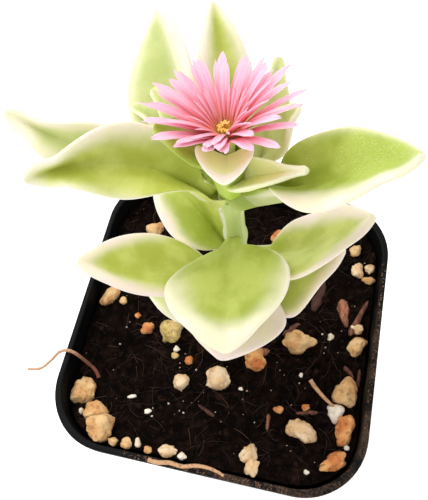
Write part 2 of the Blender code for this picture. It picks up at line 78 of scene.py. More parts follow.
class Tone:
    """One value inside a skin; a sum on it adds the Math nodes that work it out."""

    def __init__(self, skin, socket):
        self.skin = skin
        self.socket = socket

    def sum(self, operation, first, second=0.0):
        return self.skin.node("ShaderNodeMath", {"operation": operation}, {0: first, 1: second})

    def __add__(self, other):
        return self.sum("ADD", self, other)

    def __radd__(self, other):
        return self.sum("ADD", other, self)

    def __sub__(self, other):
        return self.sum("SUBTRACT", self, other)

    def __rsub__(self, other):
        return self.sum("SUBTRACT", other, self)

    def __mul__(self, other):
        return self.sum("MULTIPLY", self, other)

    def __rmul__(self, other):
        return self.sum("MULTIPLY", other, self)

    def __pow__(self, other):
        return self.sum("POWER", self, other)

    def step(self, low, high):
        """Smooth rise from 0 at low to 1 at high."""
        return self.skin.node("ShaderNodeMapRange", {"interpolation_type": "SMOOTHSTEP"},
                              {0: self, 1: low, 2: high, 3: 0.0, 4: 1.0})


class Skin:
    """The material of one piece, built node by node onto its Principled shader."""

    def __init__(self, name, roughness, **fixed):
        self.material = bpy.data.materials.new(name)
        self.material.use_nodes = True
        self.tree = self.material.node_tree
        self.shader = self.tree.nodes["Principled BSDF"]
        self.shader.inputs["Roughness"].default_value = roughness
        for words, value in fixed.items():
            self.shader.inputs[words.replace("_", " ")].default_value = value

    def node(self, kind, settings, values, output=0):
        """A new node with its settings, then its values or links; gives one output."""
        made = self.tree.nodes.new(kind)
        for name, setting in settings.items():
            setattr(made, name, setting)
        for name, value in values.items():
            if isinstance(value, Tone):
                self.tree.links.new(value.socket, made.inputs[name])
            else:
                made.inputs[name].default_value = value
        return Tone(self, made.outputs[output])

    def place(self):
        """Position on the object in metres."""
        return self.node("ShaderNodeTexCoord", {}, {}, "Object")

    def cloud(self, size, detail=3.0, rough=0.55, stretch=None):
        """Soft noise whose lumps are about size metres across, stretched as a grain runs."""
        spot = self.place()
        if stretch:
            spot = self.node("ShaderNodeVectorMath", {"operation": "MULTIPLY"}, {0: spot, 1: stretch})
        return self.node("ShaderNodeTexNoise", {}, {"Vector": spot, "Scale": 1.0 / size,
                                                    "Detail": detail, "Roughness": rough})

    def cells(self, size):
        """Distance to the nearest of scattered points about size metres apart."""
        return self.node("ShaderNodeTexVoronoi", {},
                         {"Vector": self.place(), "Scale": 1.0 / size}, "Distance")

    def mark(self, name):
        """A value that the mesh carries at each of its points."""
        return self.node("ShaderNodeAttribute", {"attribute_name": name}, {}, "Fac")

    def mix(self, share, first, second):
        """Blend of two colours, each worked out by nodes or three numbers for paint."""
        ground, coat = [c if isinstance(c, Tone) else paint(*c) for c in (first, second)]
        return self.node("ShaderNodeMix", {"data_type": "RGBA"}, {0: share, 6: ground, 7: coat}, 2)

    def colour(self, ground, *coats):
        """Base colour: a ground with coats over it, each given by its share and colour."""
        for share, coat in coats:
            ground = self.mix(share, ground, coat)
        self.feed("Base Color", ground)

    def feed(self, words, tone):
        self.tree.links.new(tone.socket, self.shader.inputs[words])

    def relief(self, height, depth, strength):
        """Fine unevenness of the surface, depth metres from low to high."""
        self.feed("Normal", self.node("ShaderNodeBump", {}, {
            "Height": height, "Distance": depth, "Strength": strength}))


def rounded_square(half, z, steps, extra=0):
    """A level ring round a square, with steps in each corner and extra points on each side."""
    ring = []
    corner = half * CORNER_SHARE
    inner = half - corner
    signs = ((1, 1), (-1, 1), (-1, -1), (1, -1))
    for quarter in range(4):
        sx, sy = signs[quarter]
        for k in range(steps + 1):
            angle = (quarter + k / steps) * pi / 2
            ring.append(Vector((sx * inner + corner * cos(angle),
                                sy * inner + corner * sin(angle), z)))
        nx, ny = signs[(quarter + 1) % 4]
        stride = Vector(((nx - sx) * inner, (ny - sy) * inner, 0)) / (extra + 1)
        start = ring[-1]
        ring += [start + stride * (k + 1) for k in range(extra)]
    return ring


def skin_over(rings, close_last=True):
    """Points and faces of a skin drawn over closed rings of equal count."""
    count = len(rings[0])
    last = (len(rings) - 1) * count
    faces = []
    for low in range(0, last, count):
        for k in range(count):
            n = (k + 1) % count
            faces.append((low + k, low + n, low + count + n, low + count + k))
    faces.append(tuple(range(count - 1, -1, -1)))
    if close_last:
        faces.append(tuple(last + k for k in range(count)))
    return [p for ring in rings for p in ring], faces


def piece(name, points, faces, skin, crease=40.0, marks=None):
    """A smooth mesh object in its skin, with any values that its points carry."""
    mesh = bpy.data.meshes.new(name)
    mesh.from_pydata([tuple(p) for p in points], [], faces)
    for mark, values in (marks or {}).items():
        mesh.attributes.new(mark, "FLOAT", "POINT").data.foreach_set("value", values)
    work = bmesh.new()
    work.from_mesh(mesh)
    bmesh.ops.recalc_face_normals(work, faces=work.faces)
    work.to_mesh(mesh)
    work.free()
    mesh.shade_smooth()
    mesh.set_sharp_from_angle(angle=radians(crease))
    mesh.materials.append(skin.material)
    thing = bpy.data.objects.new(name, mesh)
    bpy.context.scene.collection.objects.link(thing)
    return thing


def settle(thing, node):
    """The piece is tied to the root body and hides the node of the model that it stands for."""
    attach(thing, "root")
    if node:
        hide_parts(node)


def black_plastic():
    """Black plastic with peat dust and a painted highlight on the near and right sides of the lip."""
    skin = Skin("black_pot_plastic", 0.6, IOR=1.45, Specular_IOR_Level=0.12)
    grain = skin.cloud(0.0004, 2.0)
    blotch = skin.cloud(0.005, 5.0, 0.7)
    across, away, high = [skin.node("ShaderNodeSeparateXYZ", {}, {0: skin.place()}, axis)
                          for axis in "XYZ"]
    near = (across - away).step(0.012, 0.036) * high.step(POT_HEIGHT - DUST_AND_HIGHLIGHT_DEPTH,
                                                          POT_HEIGHT - MM)
    # Lighter brown on the near and right sides of the lip: partly peat dust, partly a painted highlight
    dust_and_highlight = (blotch * 0.65 + grain * 0.35).step(0.44, 0.62) * near
    skin.colour((9, 9, 10), (dust_and_highlight * 0.7, (92, 74, 60)))
    skin.feed("Roughness", 0.55 + dust_and_highlight * 0.3)
    skin.relief(grain * 0.6 + blotch * 0.4, 0.00012, 0.55)
    return skin


def wall_half(z):
    """Half width of the pot's outer wall at a height below the lip."""
    top = POT_WIDTH / 2 - LIP_STEP
    return BASE_HALF + (top - BASE_HALF) * z / (POT_HEIGHT - LIP_HEIGHT)


def pot_profile():
    """Half width and height up the outside, over the lip and down inside to the floor."""
    half = POT_WIDTH / 2
    lip = POT_HEIGHT - LIP_HEIGHT
    profile = [(BASE_HALF - FOOT_BEVEL, 0.0), (BASE_HALF - FOOT_ROUND[0], FOOT_ROUND[1]),
               (wall_half(FOOT_BEVEL), FOOT_BEVEL)]
    profile += [(wall_half(lip * k / 8), lip * k / 8) for k in range(1, 8)]
    profile += [(wall_half(lip), lip), (half - LIP_STEP / 2, lip + LIP_STEP * 0.3), (half, lip + LIP_STEP)]
    for middle, first in ((half - LIP_TURN, 0.0), (half - LIP_THICK + LIP_TURN, pi / 2)):
        for k in range(5):
            a = first + k / 4 * pi / 2
            profile.append((middle + LIP_TURN * cos(a), POT_HEIGHT - LIP_TURN + LIP_TURN * sin(a)))
    profile.append((wall_half(lip) - POT_WALL, lip - POT_WALL))
    profile += [(wall_half(lip * k / 4) - POT_WALL, lip * k / 4) for k in (3, 2, 1)]
    profile.append((wall_half(POT_FLOOR) - POT_WALL, POT_FLOOR))
    return profile


def mould_pot():
    rings = [rounded_square(half, z, 16) for half, z in pot_profile()]
    pot = piece("pot_shell", *skin_over(rings), black_plastic())
    for sx, sy in ((-1, -1), (-1, 1), (1, -1), (1, 1)):
        work = bmesh.new()
        bmesh.ops.create_cone(
            work, cap_ends=True, segments=40, radius1=DRAIN_RADIUS, radius2=DRAIN_RADIUS,
            depth=DRILL_LENGTH,
            matrix=Matrix.Translation((sx * DRAIN_OFFSET, sy * DRAIN_OFFSET, POT_FLOOR / 2)))
        drill = bpy.data.objects.new("drill", bpy.data.meshes.new("drill"))
        work.to_mesh(drill.data)
        work.free()
        bpy.context.scene.collection.objects.link(drill)
        hole = pot.modifiers.new("hole", "BOOLEAN")
        hole.operation = "DIFFERENCE"
        hole.object = drill
        bpy.context.view_layer.update()
        graph = bpy.context.evaluated_depsgraph_get()
        pot.data = bpy.data.meshes.new_from_object(pot.evaluated_get(graph))
        pot.modifiers.clear()
        bpy.data.objects.remove(drill)
    pot.data.set_sharp_from_angle(angle=radians(40.0))
    settle(pot, "pot")


mould_pot()


# The compost
# Damp black peat pressed into the pot to just under its lip, lowest in the near left
# corner and banked up along the near side. Its top is crumbly and open, and it closes
# round the foot of the stem.

SOIL_TOP = POT_HEIGHT - 0.0038
SOIL_GAP = 0.0003
SLACK = 0.0001
SOIL_BEVEL = 0.0008
SOIL_TUCK = 0.0006
# Depth of the dip, mm, its middle and how far it spreads; then the bank along the near side
DIP = (1.7, -25.0, -19.0, 110.0)
BANK = (3.2, -29.0, 70.0)
SOIL_CORNER_STEPS = 22
SOIL_SIDE_POINTS = 40
SOIL_RINGS = 96
STEM_X = 0.0037
STEM_Y = 0.0012
STEM_CLEAR = 0.0032
STEM_FOOT = SOIL_TOP - 0.009
STEM_TOP = POT_HEIGHT + 0.0468
STEM_RADIUS = 0.0019
STEM_TAPER = 0.0010
STEM_FLARE = 0.0006
NODE_SWELL = 0.0003
NODE_REACH = 0.0016
STEM_NODES = (POT_HEIGHT + 0.0245, POT_HEIGHT + 0.0288, POT_HEIGHT + 0.0358,
              POT_HEIGHT + 0.0450)
CRUMBS = 520
CRUMB_SEED = 11
CRUMB_SIZES = (0.4, 0.5, 0.6, 0.8, 1.1)
CRUMB_SPREAD = 0.029
CRUMB_MARGIN = 0.0004


def stem_radius(z):
    """Radius of the stem, which tapers upwards and swells at each pair of leaves."""
    share = min(max((z - SOIL_TOP) / (STEM_TOP - SOIL_TOP), 0.0), 1.0)
    radius = STEM_RADIUS - STEM_TAPER * share + STEM_FLARE * share * share
    return radius + sum(NODE_SWELL * exp(-((z - node) / NODE_REACH) ** 2)
                        for node in STEM_NODES)


def soil_height(x, y):
    """Height of the soil without its crumbs."""
    a = x / MM
    b = y / MM
    waves = 0.28 * sin(a * 0.31 + 0.6) * cos(b * 0.27 - 0.4)
    waves += 0.16 * sin(a * 0.83 - b * 0.57 + 1.9)
    dip = DIP[0] * exp(-((a - DIP[1]) ** 2 + (b - DIP[2]) ** 2) / DIP[3])
    bank = BANK[0] * exp(-((b - BANK[1]) ** 2) / BANK[2])
    return SOIL_TOP + (waves - dip + bank) * MM


def knobs(spot, octaves, fade, finer):
    """Lumpy noise that gets finer and fainter with each octave."""
    return noise.turbulence(spot, octaves, True, noise_basis="PERLIN_ORIGINAL",
                            amplitude_scale=fade, frequency_scale=finer)


def crumb_height(x, y):
    """Height of the loose top over the soil's smooth level."""
    spot = Vector((x, y, 0)) / MM
    grit = noise.noise(spot * 2.7) * 0.5 + noise.noise(spot * 5.3) * 0.3
    return (0.85 * (knobs(spot * 0.36, 5, 0.62, 2.1) - 0.62) + 0.16 * grit) * MM


def on_soil(x, y, lift):
    return Vector((x, y, soil_height(x, y) + crumb_height(x, y) + lift))


def peat():
    skin = Skin("damp_peat", 0.9, IOR=1.3, Specular_IOR_Level=0.12)
    grain = skin.cloud(0.0016, 6.0, 0.7)
    fleck = skin.cloud(0.0003, 4.0, 0.65)
    clod = skin.cloud(0.004, 3.0, 0.6)
    raised = skin.mark("height").step(0.15, 0.85)
    skin.colour((6, 3, 2),
                (grain.step(0.4, 0.72), (30, 18, 13)),
                (clod.step(0.56, 0.7) * grain.step(0.45, 0.6) * 0.6, (56, 36, 25)),
                (raised * fleck.step(0.5, 0.68) * 0.7, (48, 34, 28)),
                (raised * fleck.step(0.72, 0.78) * 0.6, (112, 84, 66)))
    skin.relief(grain * 0.6 + fleck * 0.4, 0.0006, 0.9)
    return skin


def press_compost():
    low = POT_FLOOR + SOIL_GAP
    foot = wall_half(low) - POT_WALL - SOIL_GAP
    edge = wall_half(SOIL_TOP) - POT_WALL - SOIL_GAP - SLACK
    bottom, bevel, border = [
        rounded_square(half, z, SOIL_CORNER_STEPS, SOIL_SIDE_POINTS)
        for half, z in ((foot - SOIL_TUCK, low), (foot + SLACK, low + SOIL_BEVEL), (edge, 0))]
    rings = [bottom, bevel]
    mouth = stem_radius(SOIL_TOP) + SOIL_GAP + SLACK
    centre = Vector((STEM_X, STEM_Y, 0))
    heights = [0.0] * (2 * len(border))
    for k in range(SOIL_RINGS + 1):
        ring = []
        for p in border:
            q = p.lerp(centre + (p - centre).normalized() * mouth, k / SOIL_RINGS)
            loose = min(1.0, k / 3) * min(1.0, (q - centre).length / (mouth * 1.6))
            rise = crumb_height(q.x, q.y)
            ring.append(Vector((q.x, q.y, soil_height(q.x, q.y) + rise * loose)))
            heights.append(rise / MM + 0.4)
        rings.append(ring)
    rings.append([Vector((p.x, p.y, STEM_FOOT - SOIL_GAP)) for p in rings[-1]])
    heights += [0.0] * len(border)
    soil = piece("compost", *skin_over(rings), peat(), 60.0, {"height": heights})
    settle(soil, "soil")


def in_pot(x, y, margin):
    """Whether a point lies inside the pot's mouth and clear of the stem."""
    half = wall_half(SOIL_TOP) - POT_WALL - margin
    corner = half * CORNER_SHARE
    ax = max(abs(x) - (half - corner), 0.0)
    ay = max(abs(y) - (half - corner), 0.0)
    return hypot(ax, ay) < corner and hypot(x - STEM_X, y - STEM_Y) > STEM_CLEAR


def ball(rounds):
    """Corners and faces of a ball of radius 1."""
    work = bmesh.new()
    bmesh.ops.create_icosphere(work, subdivisions=rounds, radius=1.0)
    corners = [vertex.co.copy() for vertex in work.verts]
    faces = [tuple(vertex.index for vertex in face.verts) for face in work.faces]
    work.free()
    return corners, faces


def lump(size, centre, turn, seed, rough, rounds=2):
    """Points and faces of an uneven grain; size is its length, width and height."""
    corners, faces = ball(rounds)
    c = cos(turn)
    s = sin(turn)
    shift = Vector((seed * 3.7, seed * 1.9, seed * 5.1))
    points = []
    for p in corners:
        swell = 1.0 + rough * noise.noise(p * 1.4 + shift)
        swell += rough * 0.55 * noise.noise(p * 3.1 - shift)
        swell += rough * 0.3 * noise.noise(p * 6.5 + shift)
        u = p.x * size[0] / 2 * swell
        v = p.y * size[1] / 2 * swell
        points.append(Vector((u * c - v * s, u * s + v * c, p.z * size[2] / 2 * swell)) + centre)
    return points, faces


class Heap:
    """Many small shapes gathered into one mesh."""

    def __init__(self):
        self.points = []
        self.faces = []
        self.tints = []

    def add(self, points, faces, tint=0.0):
        start = len(self.points)
        self.points.extend(points)
        self.faces.extend(tuple(start + k for k in face) for face in faces)
        self.tints.extend([tint] * len(points))

    def lay(self, name, skin, crease=180.0, node=None, slot="compost", **marks):
        """The heap as one piece, loose on the compost unless it stands for a node."""
        marks = marks or {"tint": self.tints}
        settle(piece(name, self.points, self.faces, skin, crease, marks), node)


def scatter_crumbs():
    draw = random.Random(CRUMB_SEED)
    crumbs = Heap()
    laid = 0
    while laid < CRUMBS:
        x = draw.uniform(-CRUMB_SPREAD, CRUMB_SPREAD)
        y = draw.uniform(-CRUMB_SPREAD, CRUMB_SPREAD)
        size = draw.choice(CRUMB_SIZES) * MM
        if not in_pot(x, y, size * 0.5 + CRUMB_MARGIN):
            continue
        width = size * draw.uniform(0.6, 1.0)
        crumbs.add(*lump((size, width, width * 0.8), on_soil(x, y, width * 0.18),
                         draw.uniform(0, pi), draw.uniform(0, 50), 0.6), draw.random())
        laid += 1
    skin = Skin("peat_crumbs", 0.9, Specular_IOR_Level=0.1)
    fine = skin.cloud(0.0003, 3.0, 0.65)
    skin.colour((9, 5, 4), (skin.mark("tint") ** 3.0, (38, 23, 17)),
                (fine.step(0.55, 0.7) * 0.5, (50, 35, 28)))
    skin.relief(fine, 0.0003, 0.8)
    crumbs.lay("peat_crumbs", skin)


press_compost()
scatter_crumbs()


# Pumice and grit
# Lumps of cream, tan and rusty pumice that the grower mixed into the peat. They are
# porous, rounded by handling, half sunk in the soil and stained in patches. Painted shade
# darkens their pores and their sides just above the soil.

# Seen from above, mm: x, y, length, width, turn in degrees
GRIT = {
    "cream": ((0.6, -11.8, 5.4, 4.0, 20), (-6.4, -13.8, 3.6, 3.2, 40), (9.5, -24.6, 3.6, 3.2, 70),
              (10.4, -26.7, 3.0, 2.4, 80), (18.0, -18.4, 5.0, 4.0, -15), (25.8, 3.2, 2.4, 2.2, 0),
              (24.5, 15.9, 2.9, 2.7, 20), (26.9, 16.8, 2.4, 1.9, 80), (-5.2, -27.3, 3.6, 2.4, 10)),
    "tan": ((-25.4, -19.2, 5.4, 4.6, 80), (-21.4, -22.8, 4.2, 3.8, 20), (26.9, 14.2, 2.3, 1.9, 0),
            (-19.2, -25.6, 5.6, 5.0, 0), (-13.2, -27.5, 2.6, 1.9, 10), (15.0, -1.6, 6.4, 4.8, 15),
            (25.3, -9.6, 5.4, 4.4, 70), (26.2, -0.3, 3.8, 3.2, 60), (-25.8, 1.0, 4.3, 3.5, 60),
            (-15.9, -27.7, 1.9, 1.5, 0), (-22.6, 0.4, 1.9, 1.6, 20), (23.6, 20.4, 3.2, 2.4, 70),
            (-20.0, 18.0, 4.0, 3.4, 30), (-8.9, -27.8, 1.5, 1.3, 0)),
    "rust": ((25.7, -16.8, 5.2, 3.8, 80), (24.4, -23.0, 5.0, 3.0, 45), (7.0, -6.8, 4.8, 4.0, 30),
             (-15.9, -4.4, 3.2, 2.4, 50), (-18.6, -2.2, 1.3, 1.2, 0), (18.3, -13.9, 1.6, 1.2, 30),
             (8.0, 21.0, 4.4, 3.2, 10), (13.2, -15.4, 1.8, 1.5, 10), (-5.9, -9.4, 1.9, 1.6, 0)),
    "olive": ((-10.9, -4.2, 5.4, 4.4, 60), (-13.0, 12.0, 3.4, 2.8, 0), (-8.8, -9.0, 1.6, 1.3, 0),
              (-2.8, 6.0, 1.4, 1.0, 0), (1.4, 9.5, 1.2, 1.0, 0)),
    "white": ((23.8, -13.8, 3.2, 3.2, 0), (-11.1, -27.0, 1.4, 1.6, 20), (-2.4, -27.6, 1.8, 1.4, 0),
              (-24.2, -23.4, 0.9, 1.4, 10), (-11.3, -20.8, 1.4, 1.0, 30), (-15.3, -18.6, 1.7, 0.9, 20),
              (21.0, 0.6, 1.6, 1.2, 80), (16.4, -8.0, 0.9, 0.8, 0), (-8.9, -7.6, 1.6, 1.3, 10),
              (20.0, -25.6, 1.0, 0.9, 0), (26.6, -19.8, 1.0, 0.9, 0), (5.4, -12.9, 0.8, 0.8, 0)),
}
# Light, warm and hollow colour of each kind; the hollow colour paints stains and also painted shade in the
# pores
GRIT_COLOURS = {
    "cream": ((238, 212, 174), (224, 184, 136), (168, 120, 82)),
    "tan": ((226, 188, 134), (212, 158, 100), (148, 96, 60)),
    "rust": ((228, 168, 104), (202, 118, 62), (112, 60, 36)),
    "olive": ((222, 192, 128), (178, 154, 82), (90, 64, 38)),
    "white": ((246, 238, 222), (232, 214, 188), (176, 152, 128)),
}
SPECKS = 150
SPECK_MARGIN = 0.0006
SPECK_SIZES = (0.16, 0.2, 0.26, 0.34, 0.5)
LIP_SPECKS = 340
LIP_SPECK_SIZES = (0.12, 0.16, 0.22, 0.3, 0.4)
LIP_SPREAD = 0.00045
# Where the dust starts on each side of the lip, how far it runs, and a clot on the near side
NEAR_DUST = (-0.013, 0.032)
RIGHT_DUST = (-0.017, 0.034)
CLOT_AT = 0.012
SPECK_SEED = 5
DUST_TINT = -0.8
INNER_SPREAD = 0.0275


def pumice(name):
    light, warm, hollow = GRIT_COLOURS[name]
    skin = Skin(name + "_pumice", 0.8, IOR=1.45)
    patch = skin.cloud(0.0026, 3.0, 0.5)
    pore = skin.cells(0.0009)
    fine = skin.cloud(0.0003, 3.0, 0.6)
    stain = skin.cloud(0.0012, 5.0, 0.65)
    # Painted shade: the pores take the hollow colour, and each grain darkens low down where it meets the
    # soil
    contact_shade = 1.0 - (skin.mark("height") + (stain - 0.5) * 0.9).step(-0.35, 0.25)
    skin.colour(light, (patch.step(0.38, 0.62), warm),
                ((1.0 - pore.step(0.1, 0.3)) * patch.step(0.45, 0.62) * 0.6, hollow),
                (stain.step(0.52, 0.66) * 0.55, hollow), (fine.step(0.56, 0.75) * 0.25, warm),
                (contact_shade * 0.85, (52, 34, 24)))
    skin.relief(pore.step(0.1, 0.45) * 0.5 + fine * 0.5, 0.00022, 0.6)
    return skin


def stone(number, x, y, length, width, turn):
    """Points and faces of a knobbly grain, and how high on it each point is."""
    corners, faces = ball(5 if length > 3.5 else 4 if length > 2.0 else 3)
    shift = Vector((number * 2.3, number * 4.1, number * 0.7))
    c = cos(radians(turn))
    s = sin(radians(turn))
    level = soil_height(x * MM, y * MM) + width * 0.12 * MM
    points = []
    for p in corners:
        swell = 1.0 + 0.12 * sin(3.1 * p.x + number) + 0.10 * sin(3.7 * p.y - 2 * number + p.z)
        swell += 0.2 * noise.noise(p * 1.6 + shift)
        swell += 0.14 * (knobs(p * 1.9 + shift, 4, 0.55, 2.2) - 0.55)
        u = p.x * length / 2 * swell * MM
        v = p.y * width / 2 * swell * MM
        points.append(Vector((x * MM + u * c - v * s, y * MM + u * s + v * c,
                              level + p.z * width * 0.44 * swell * MM)))
    return points, faces, [p.z for p in corners]


def bed_grit():
    number = 0
    for name, grains in GRIT.items():
        heap = Heap()
        heights = []
        for grain in grains:
            number += 1
            points, faces, rise = stone(number, *grain)
            heap.add(points, faces)
            heights += rise
        heap.lay(name + "_pumice", pumice(name), height=heights)


def scatter_specks():
    """Pale flakes on the soil, and brown dust along the near and right sides of the lip."""
    draw = random.Random(SPECK_SEED)
    specks = Heap()
    for k in range(SPECKS):
        x = draw.uniform(-INNER_SPREAD, INNER_SPREAD)
        y = draw.uniform(-INNER_SPREAD, INNER_SPREAD)
        size = draw.choice(SPECK_SIZES) * MM
        tint = draw.random()
        turn = draw.uniform(0, pi)
        if in_pot(x, y, SPECK_MARGIN):
            specks.add(*lump((size, size * 0.8, size * 0.6), on_soil(x, y, size * 0.45),
                             turn, k, 0.5, 1), tint)
    lip = POT_WIDTH / 2 - LIP_THICK / 2
    for k in range(LIP_SPECKS):
        along = draw.random()
        off = draw.uniform(-LIP_SPREAD, LIP_SPREAD)
        size = draw.choice(LIP_SPECK_SIZES) * MM
        if k % 5 < 3:
            x = NEAR_DUST[0] + NEAR_DUST[1] * along if along < 0.94 else CLOT_AT
            y = -lip + off
        else:
            x = lip + off
            y = RIGHT_DUST[0] + RIGHT_DUST[1] * along
        specks.add(*lump((size, size * 0.8, size * 0.7), Vector((x, y, POT_HEIGHT + size * 0.2)),
                         6 * along, k, 0.5, 1), DUST_TINT)
    skin = Skin("pale_specks", 0.75)
    tint = skin.mark("tint")
    skin.colour((150, 112, 88), (tint.step(0.0, 1.0), (226, 214, 192)),
                (1.0 - tint.step(-0.6, -0.2), (104, 72, 52)),
                (skin.cloud(0.0002).step(0.4, 0.7) * 0.5, (140, 110, 90)))
    specks.lay("pale_specks", skin)


bed_grit()
scatter_specks()


# Fibres, bark and straw
# Peat fibres, slivers of pine bark, a snapped twig and a dry straw along the near rim.
# All of it is loose plant matter that came with the compost and lies where it fell.

FIBRES = 460
FIBRE_SEED = 23
FIBRE_RADII = (0.025, 0.03, 0.04, 0.06)
FIBRE_STEP = 0.00048
FIBRE_MARGIN = 0.0008
# Ends of each splinter of bark seen from above, its widths there, its height, mm, its tint
SPLINTERS = (
    (((22.2, 8.9), (23.8, 3.2)), (3.0, 1.0), 0.5, 0.85),
    (((27.4, 9.6), (24.6, 1.6)), (0.8, 1.5), 0.5, 0.5),
    (((18.2, 12.2), (16.8, 5.6)), (1.6, 2.4), 0.1, 0.1),
    (((11.6, -0.6), (14.6, 2.4)), (1.2, 1.6), 0.1, 0.3),
    (((4.0, -5.2), (9.6, -4.4)), (1.4, 1.8), 0.3, 0.6),
    (((27.3, -4.8), (27.4, -8.2)), (0.9, 0.6), 0.5, 0.2),
    (((-16.0, 21.4), (-11.2, 24.0)), (1.6, 1.0), 0.3, 0.4),
    (((14.2, 24.4), (19.0, 25.6)), (1.0, 1.8), 0.2, 0.3),
    (((11.6, -16.6), (11.8, -19.6)), (0.9, 0.6), 0.3, 0.7),
    (((16.6, -15.4), (20.6, -14.4)), (0.7, 1.1), 0.2, 0.35),
    (((-2.0, -17.6), (1.6, -19.2)), (0.6, 0.9), 0.1, 0.15),
    (((24.4, -4.6), (26.4, -6.6)), (1.1, 0.7), 0.3, 0.25))
# The snapped twig, a curl and the straw: course over the soil's level, radius, mm, tint
TWIGS = (
    (((18.3, -8.9, 1.7), (19.4, -10.0, 1.3), (21.4, -11.6, 1.0), (23.4, -12.9, 0.9)), 0.42, 0.9),
    (((11.8, -25.2, 1.1), (12.9, -24.4, 1.3), (14.0, -23.9, 1.2), (15.8, -24.0, 0.6)), 0.24, 0.8),
    (((-8.2, -29.5, 4.2), (-6.4, -29.6, 4.3), (-4.2, -29.2, 4.4), (-1.8, -29.3, 4.3),
      (0.6, -28.7, 4.5), (2.8, -28.6, 4.5), (4.6, -28.9, 4.4), (5.8, -29.3, 4.3)), 0.4, 1.0))


def smooth_path(points, steps):
    """A curve through the given points, with steps pieces between each two."""
    path = []
    last = len(points) - 1
    for k in range(last):
        before = points[max(k - 1, 0)]
        here = points[k]
        there = points[k + 1]
        after = points[min(k + 2, last)]
        for j in range(steps):
            t = j / steps
            path.append(0.5 * (2 * here + (there - before) * t
                               + (2 * before - 5 * here + 4 * there - after) * t * t
                               + (3 * here - before - 3 * there + after) * t * t * t))
    path.append(points[-1])
    return path


def circle(centre, first, second, radius, sides):
    """Points of a ring round a centre, in the plane of two directions."""
    return [centre + (first * cos(2 * pi * j / sides) + second * sin(2 * pi * j / sides)) * radius
            for j in range(sides)]


def strand(path, radii, sides):
    """Rings of a thin round strand along a path."""
    rings = []
    guide = Vector((0.13, 0.31, 0.94)).normalized()
    for k, here in enumerate(path):
        ahead = path[min(k + 1, len(path) - 1)] - path[max(k - 1, 0)]
        ahead.normalize()
        side = ahead.cross(guide).normalized()
        rings.append(circle(here, side, side.cross(ahead), radii[k], sides))
    return rings


def over(level, x, y, z):
    """A point given in mm, its z over a level of the pot."""
    return Vector((x * MM, y * MM, level + z * MM))


def dry_fibre(name, dark, light, grain=0.0008):
    skin = Skin(name, 0.78)
    streak = skin.cloud(grain, 4.0, 0.7)
    skin.colour(dark, (skin.mark("tint"), light), (streak.step(0.45, 0.7) * 0.6, (60, 38, 28)))
    skin.relief(streak, 0.00015, 0.7)
    return skin


def scatter_fibres():
    draw = random.Random(FIBRE_SEED)
    fibres = Heap()
    for _ in range(FIBRES):
        x = draw.uniform(-INNER_SPREAD, INNER_SPREAD)
        y = draw.uniform(-INNER_SPREAD, INNER_SPREAD)
        heading = draw.uniform(0, 2 * pi)
        bend = draw.uniform(-0.14, 0.14)
        steps = draw.choice((6, 8, 10, 14))
        radius = draw.choice(FIBRE_RADII) * MM
        tint = draw.random() ** 3.0
        lift = draw.uniform(0.02, 0.8) * MM
        path = []
        for j in range(steps):
            if not in_pot(x, y, FIBRE_MARGIN):
                break
            arch = lift * sin(pi * j / steps)
            path.append(Vector((x, y, soil_height(x, y) + crumb_height(x, y) * 0.8
                                + radius + arch)))
            heading += bend + draw.uniform(-0.2, 0.2)
            x += FIBRE_STEP * cos(heading)
            y += FIBRE_STEP * sin(heading)
        if len(path) > 4:
            radii = [radius * (1.0 - 0.6 * j / len(path)) for j in range(len(path))]
            fibres.add(*skin_over(strand(path, radii, 4)), tint)
    fibres.lay("peat_fibres", dry_fibre("peat_fibre", (30, 20, 17), (106, 68, 48)))


def chip(ends, widths, height, seed):
    """A splinter of bark: a ragged bent strip between two ends, mm, sunk at its edges."""
    steps = 14
    sides = 12
    a, b = (Vector((x, y, 0)) * MM for x, y in ends)
    side = Vector((a.y - b.y, b.x - a.x, 0)).normalized()
    rings = []
    for k in range(steps + 1):
        share = k / steps
        spot = a.lerp(b, share)
        wide = (widths[0] + (widths[1] - widths[0]) * share) / 2 * MM
        level = soil_height(spot.x, spot.y) + height * MM
        end = 1.0 - 0.7 * abs(2 * share - 1) ** 6
        ring = []
        for j in range(sides):
            u = cos(2 * pi * j / sides)
            v = sin(2 * pi * j / sides)
            ragged = 1.0 + 0.45 * noise.noise(Vector((share * 4, u * 2, seed)))
            bump = 0.5 * noise.noise(Vector((share * 5, u * 3, seed + 7)))
            ring.append(spot + side * u * wide * ragged * end
                        + Vector((0, 0, level + (v * 0.28 + bump * 0.5 - 0.4 * u * u) * MM)))
        rings.append(ring)
    return skin_over(rings)


def lay_bark():
    chips = Heap()
    for number, (ends, widths, height, tint) in enumerate(SPLINTERS):
        chips.add(*chip(ends, widths, height, 3.1 * number), tint)
    skin = Skin("pine_bark", 0.8)
    tint = skin.mark("tint")
    layer = skin.cloud(0.0006, 5.0, 0.7, (1.0, 0.3, 1.0))
    skin.colour((44, 22, 18), (tint, (196, 126, 92)), (layer.step(0.4, 0.6) * 0.75, (62, 30, 22)),
                (layer.step(0.64, 0.72) * tint, (228, 176, 140)))
    skin.relief(layer, 0.0005, 0.9)
    chips.lay("bark_chips", skin)


def lay_twigs():
    twigs = Heap()
    for route, thick, tint in TWIGS:
        path = [over(SOIL_TOP, *p) for p in smooth_path([Vector(p) for p in route], 10)]
        radii = []
        for k in range(len(path)):
            knot = 0.14 * noise.noise(Vector((k * 0.3, tint, 0)))
            radii.append(thick * MM * (1.0 - 0.45 * (k / len(path)) ** 2 + knot))
        twigs.add(*skin_over(strand(path, radii, 12)), tint)
    twigs.lay("dry_twigs", dry_fibre("dry_twig", (120, 78, 58), (214, 166, 124), 0.0005), 50.0)


scatter_fibres()
lay_bark()
lay_twigs()


# The stray root
# One dry root, springy and tapering, that has crept out of the soil and lies over the
# left side of the lip. It is brown where it left the soil and straw coloured at its end.

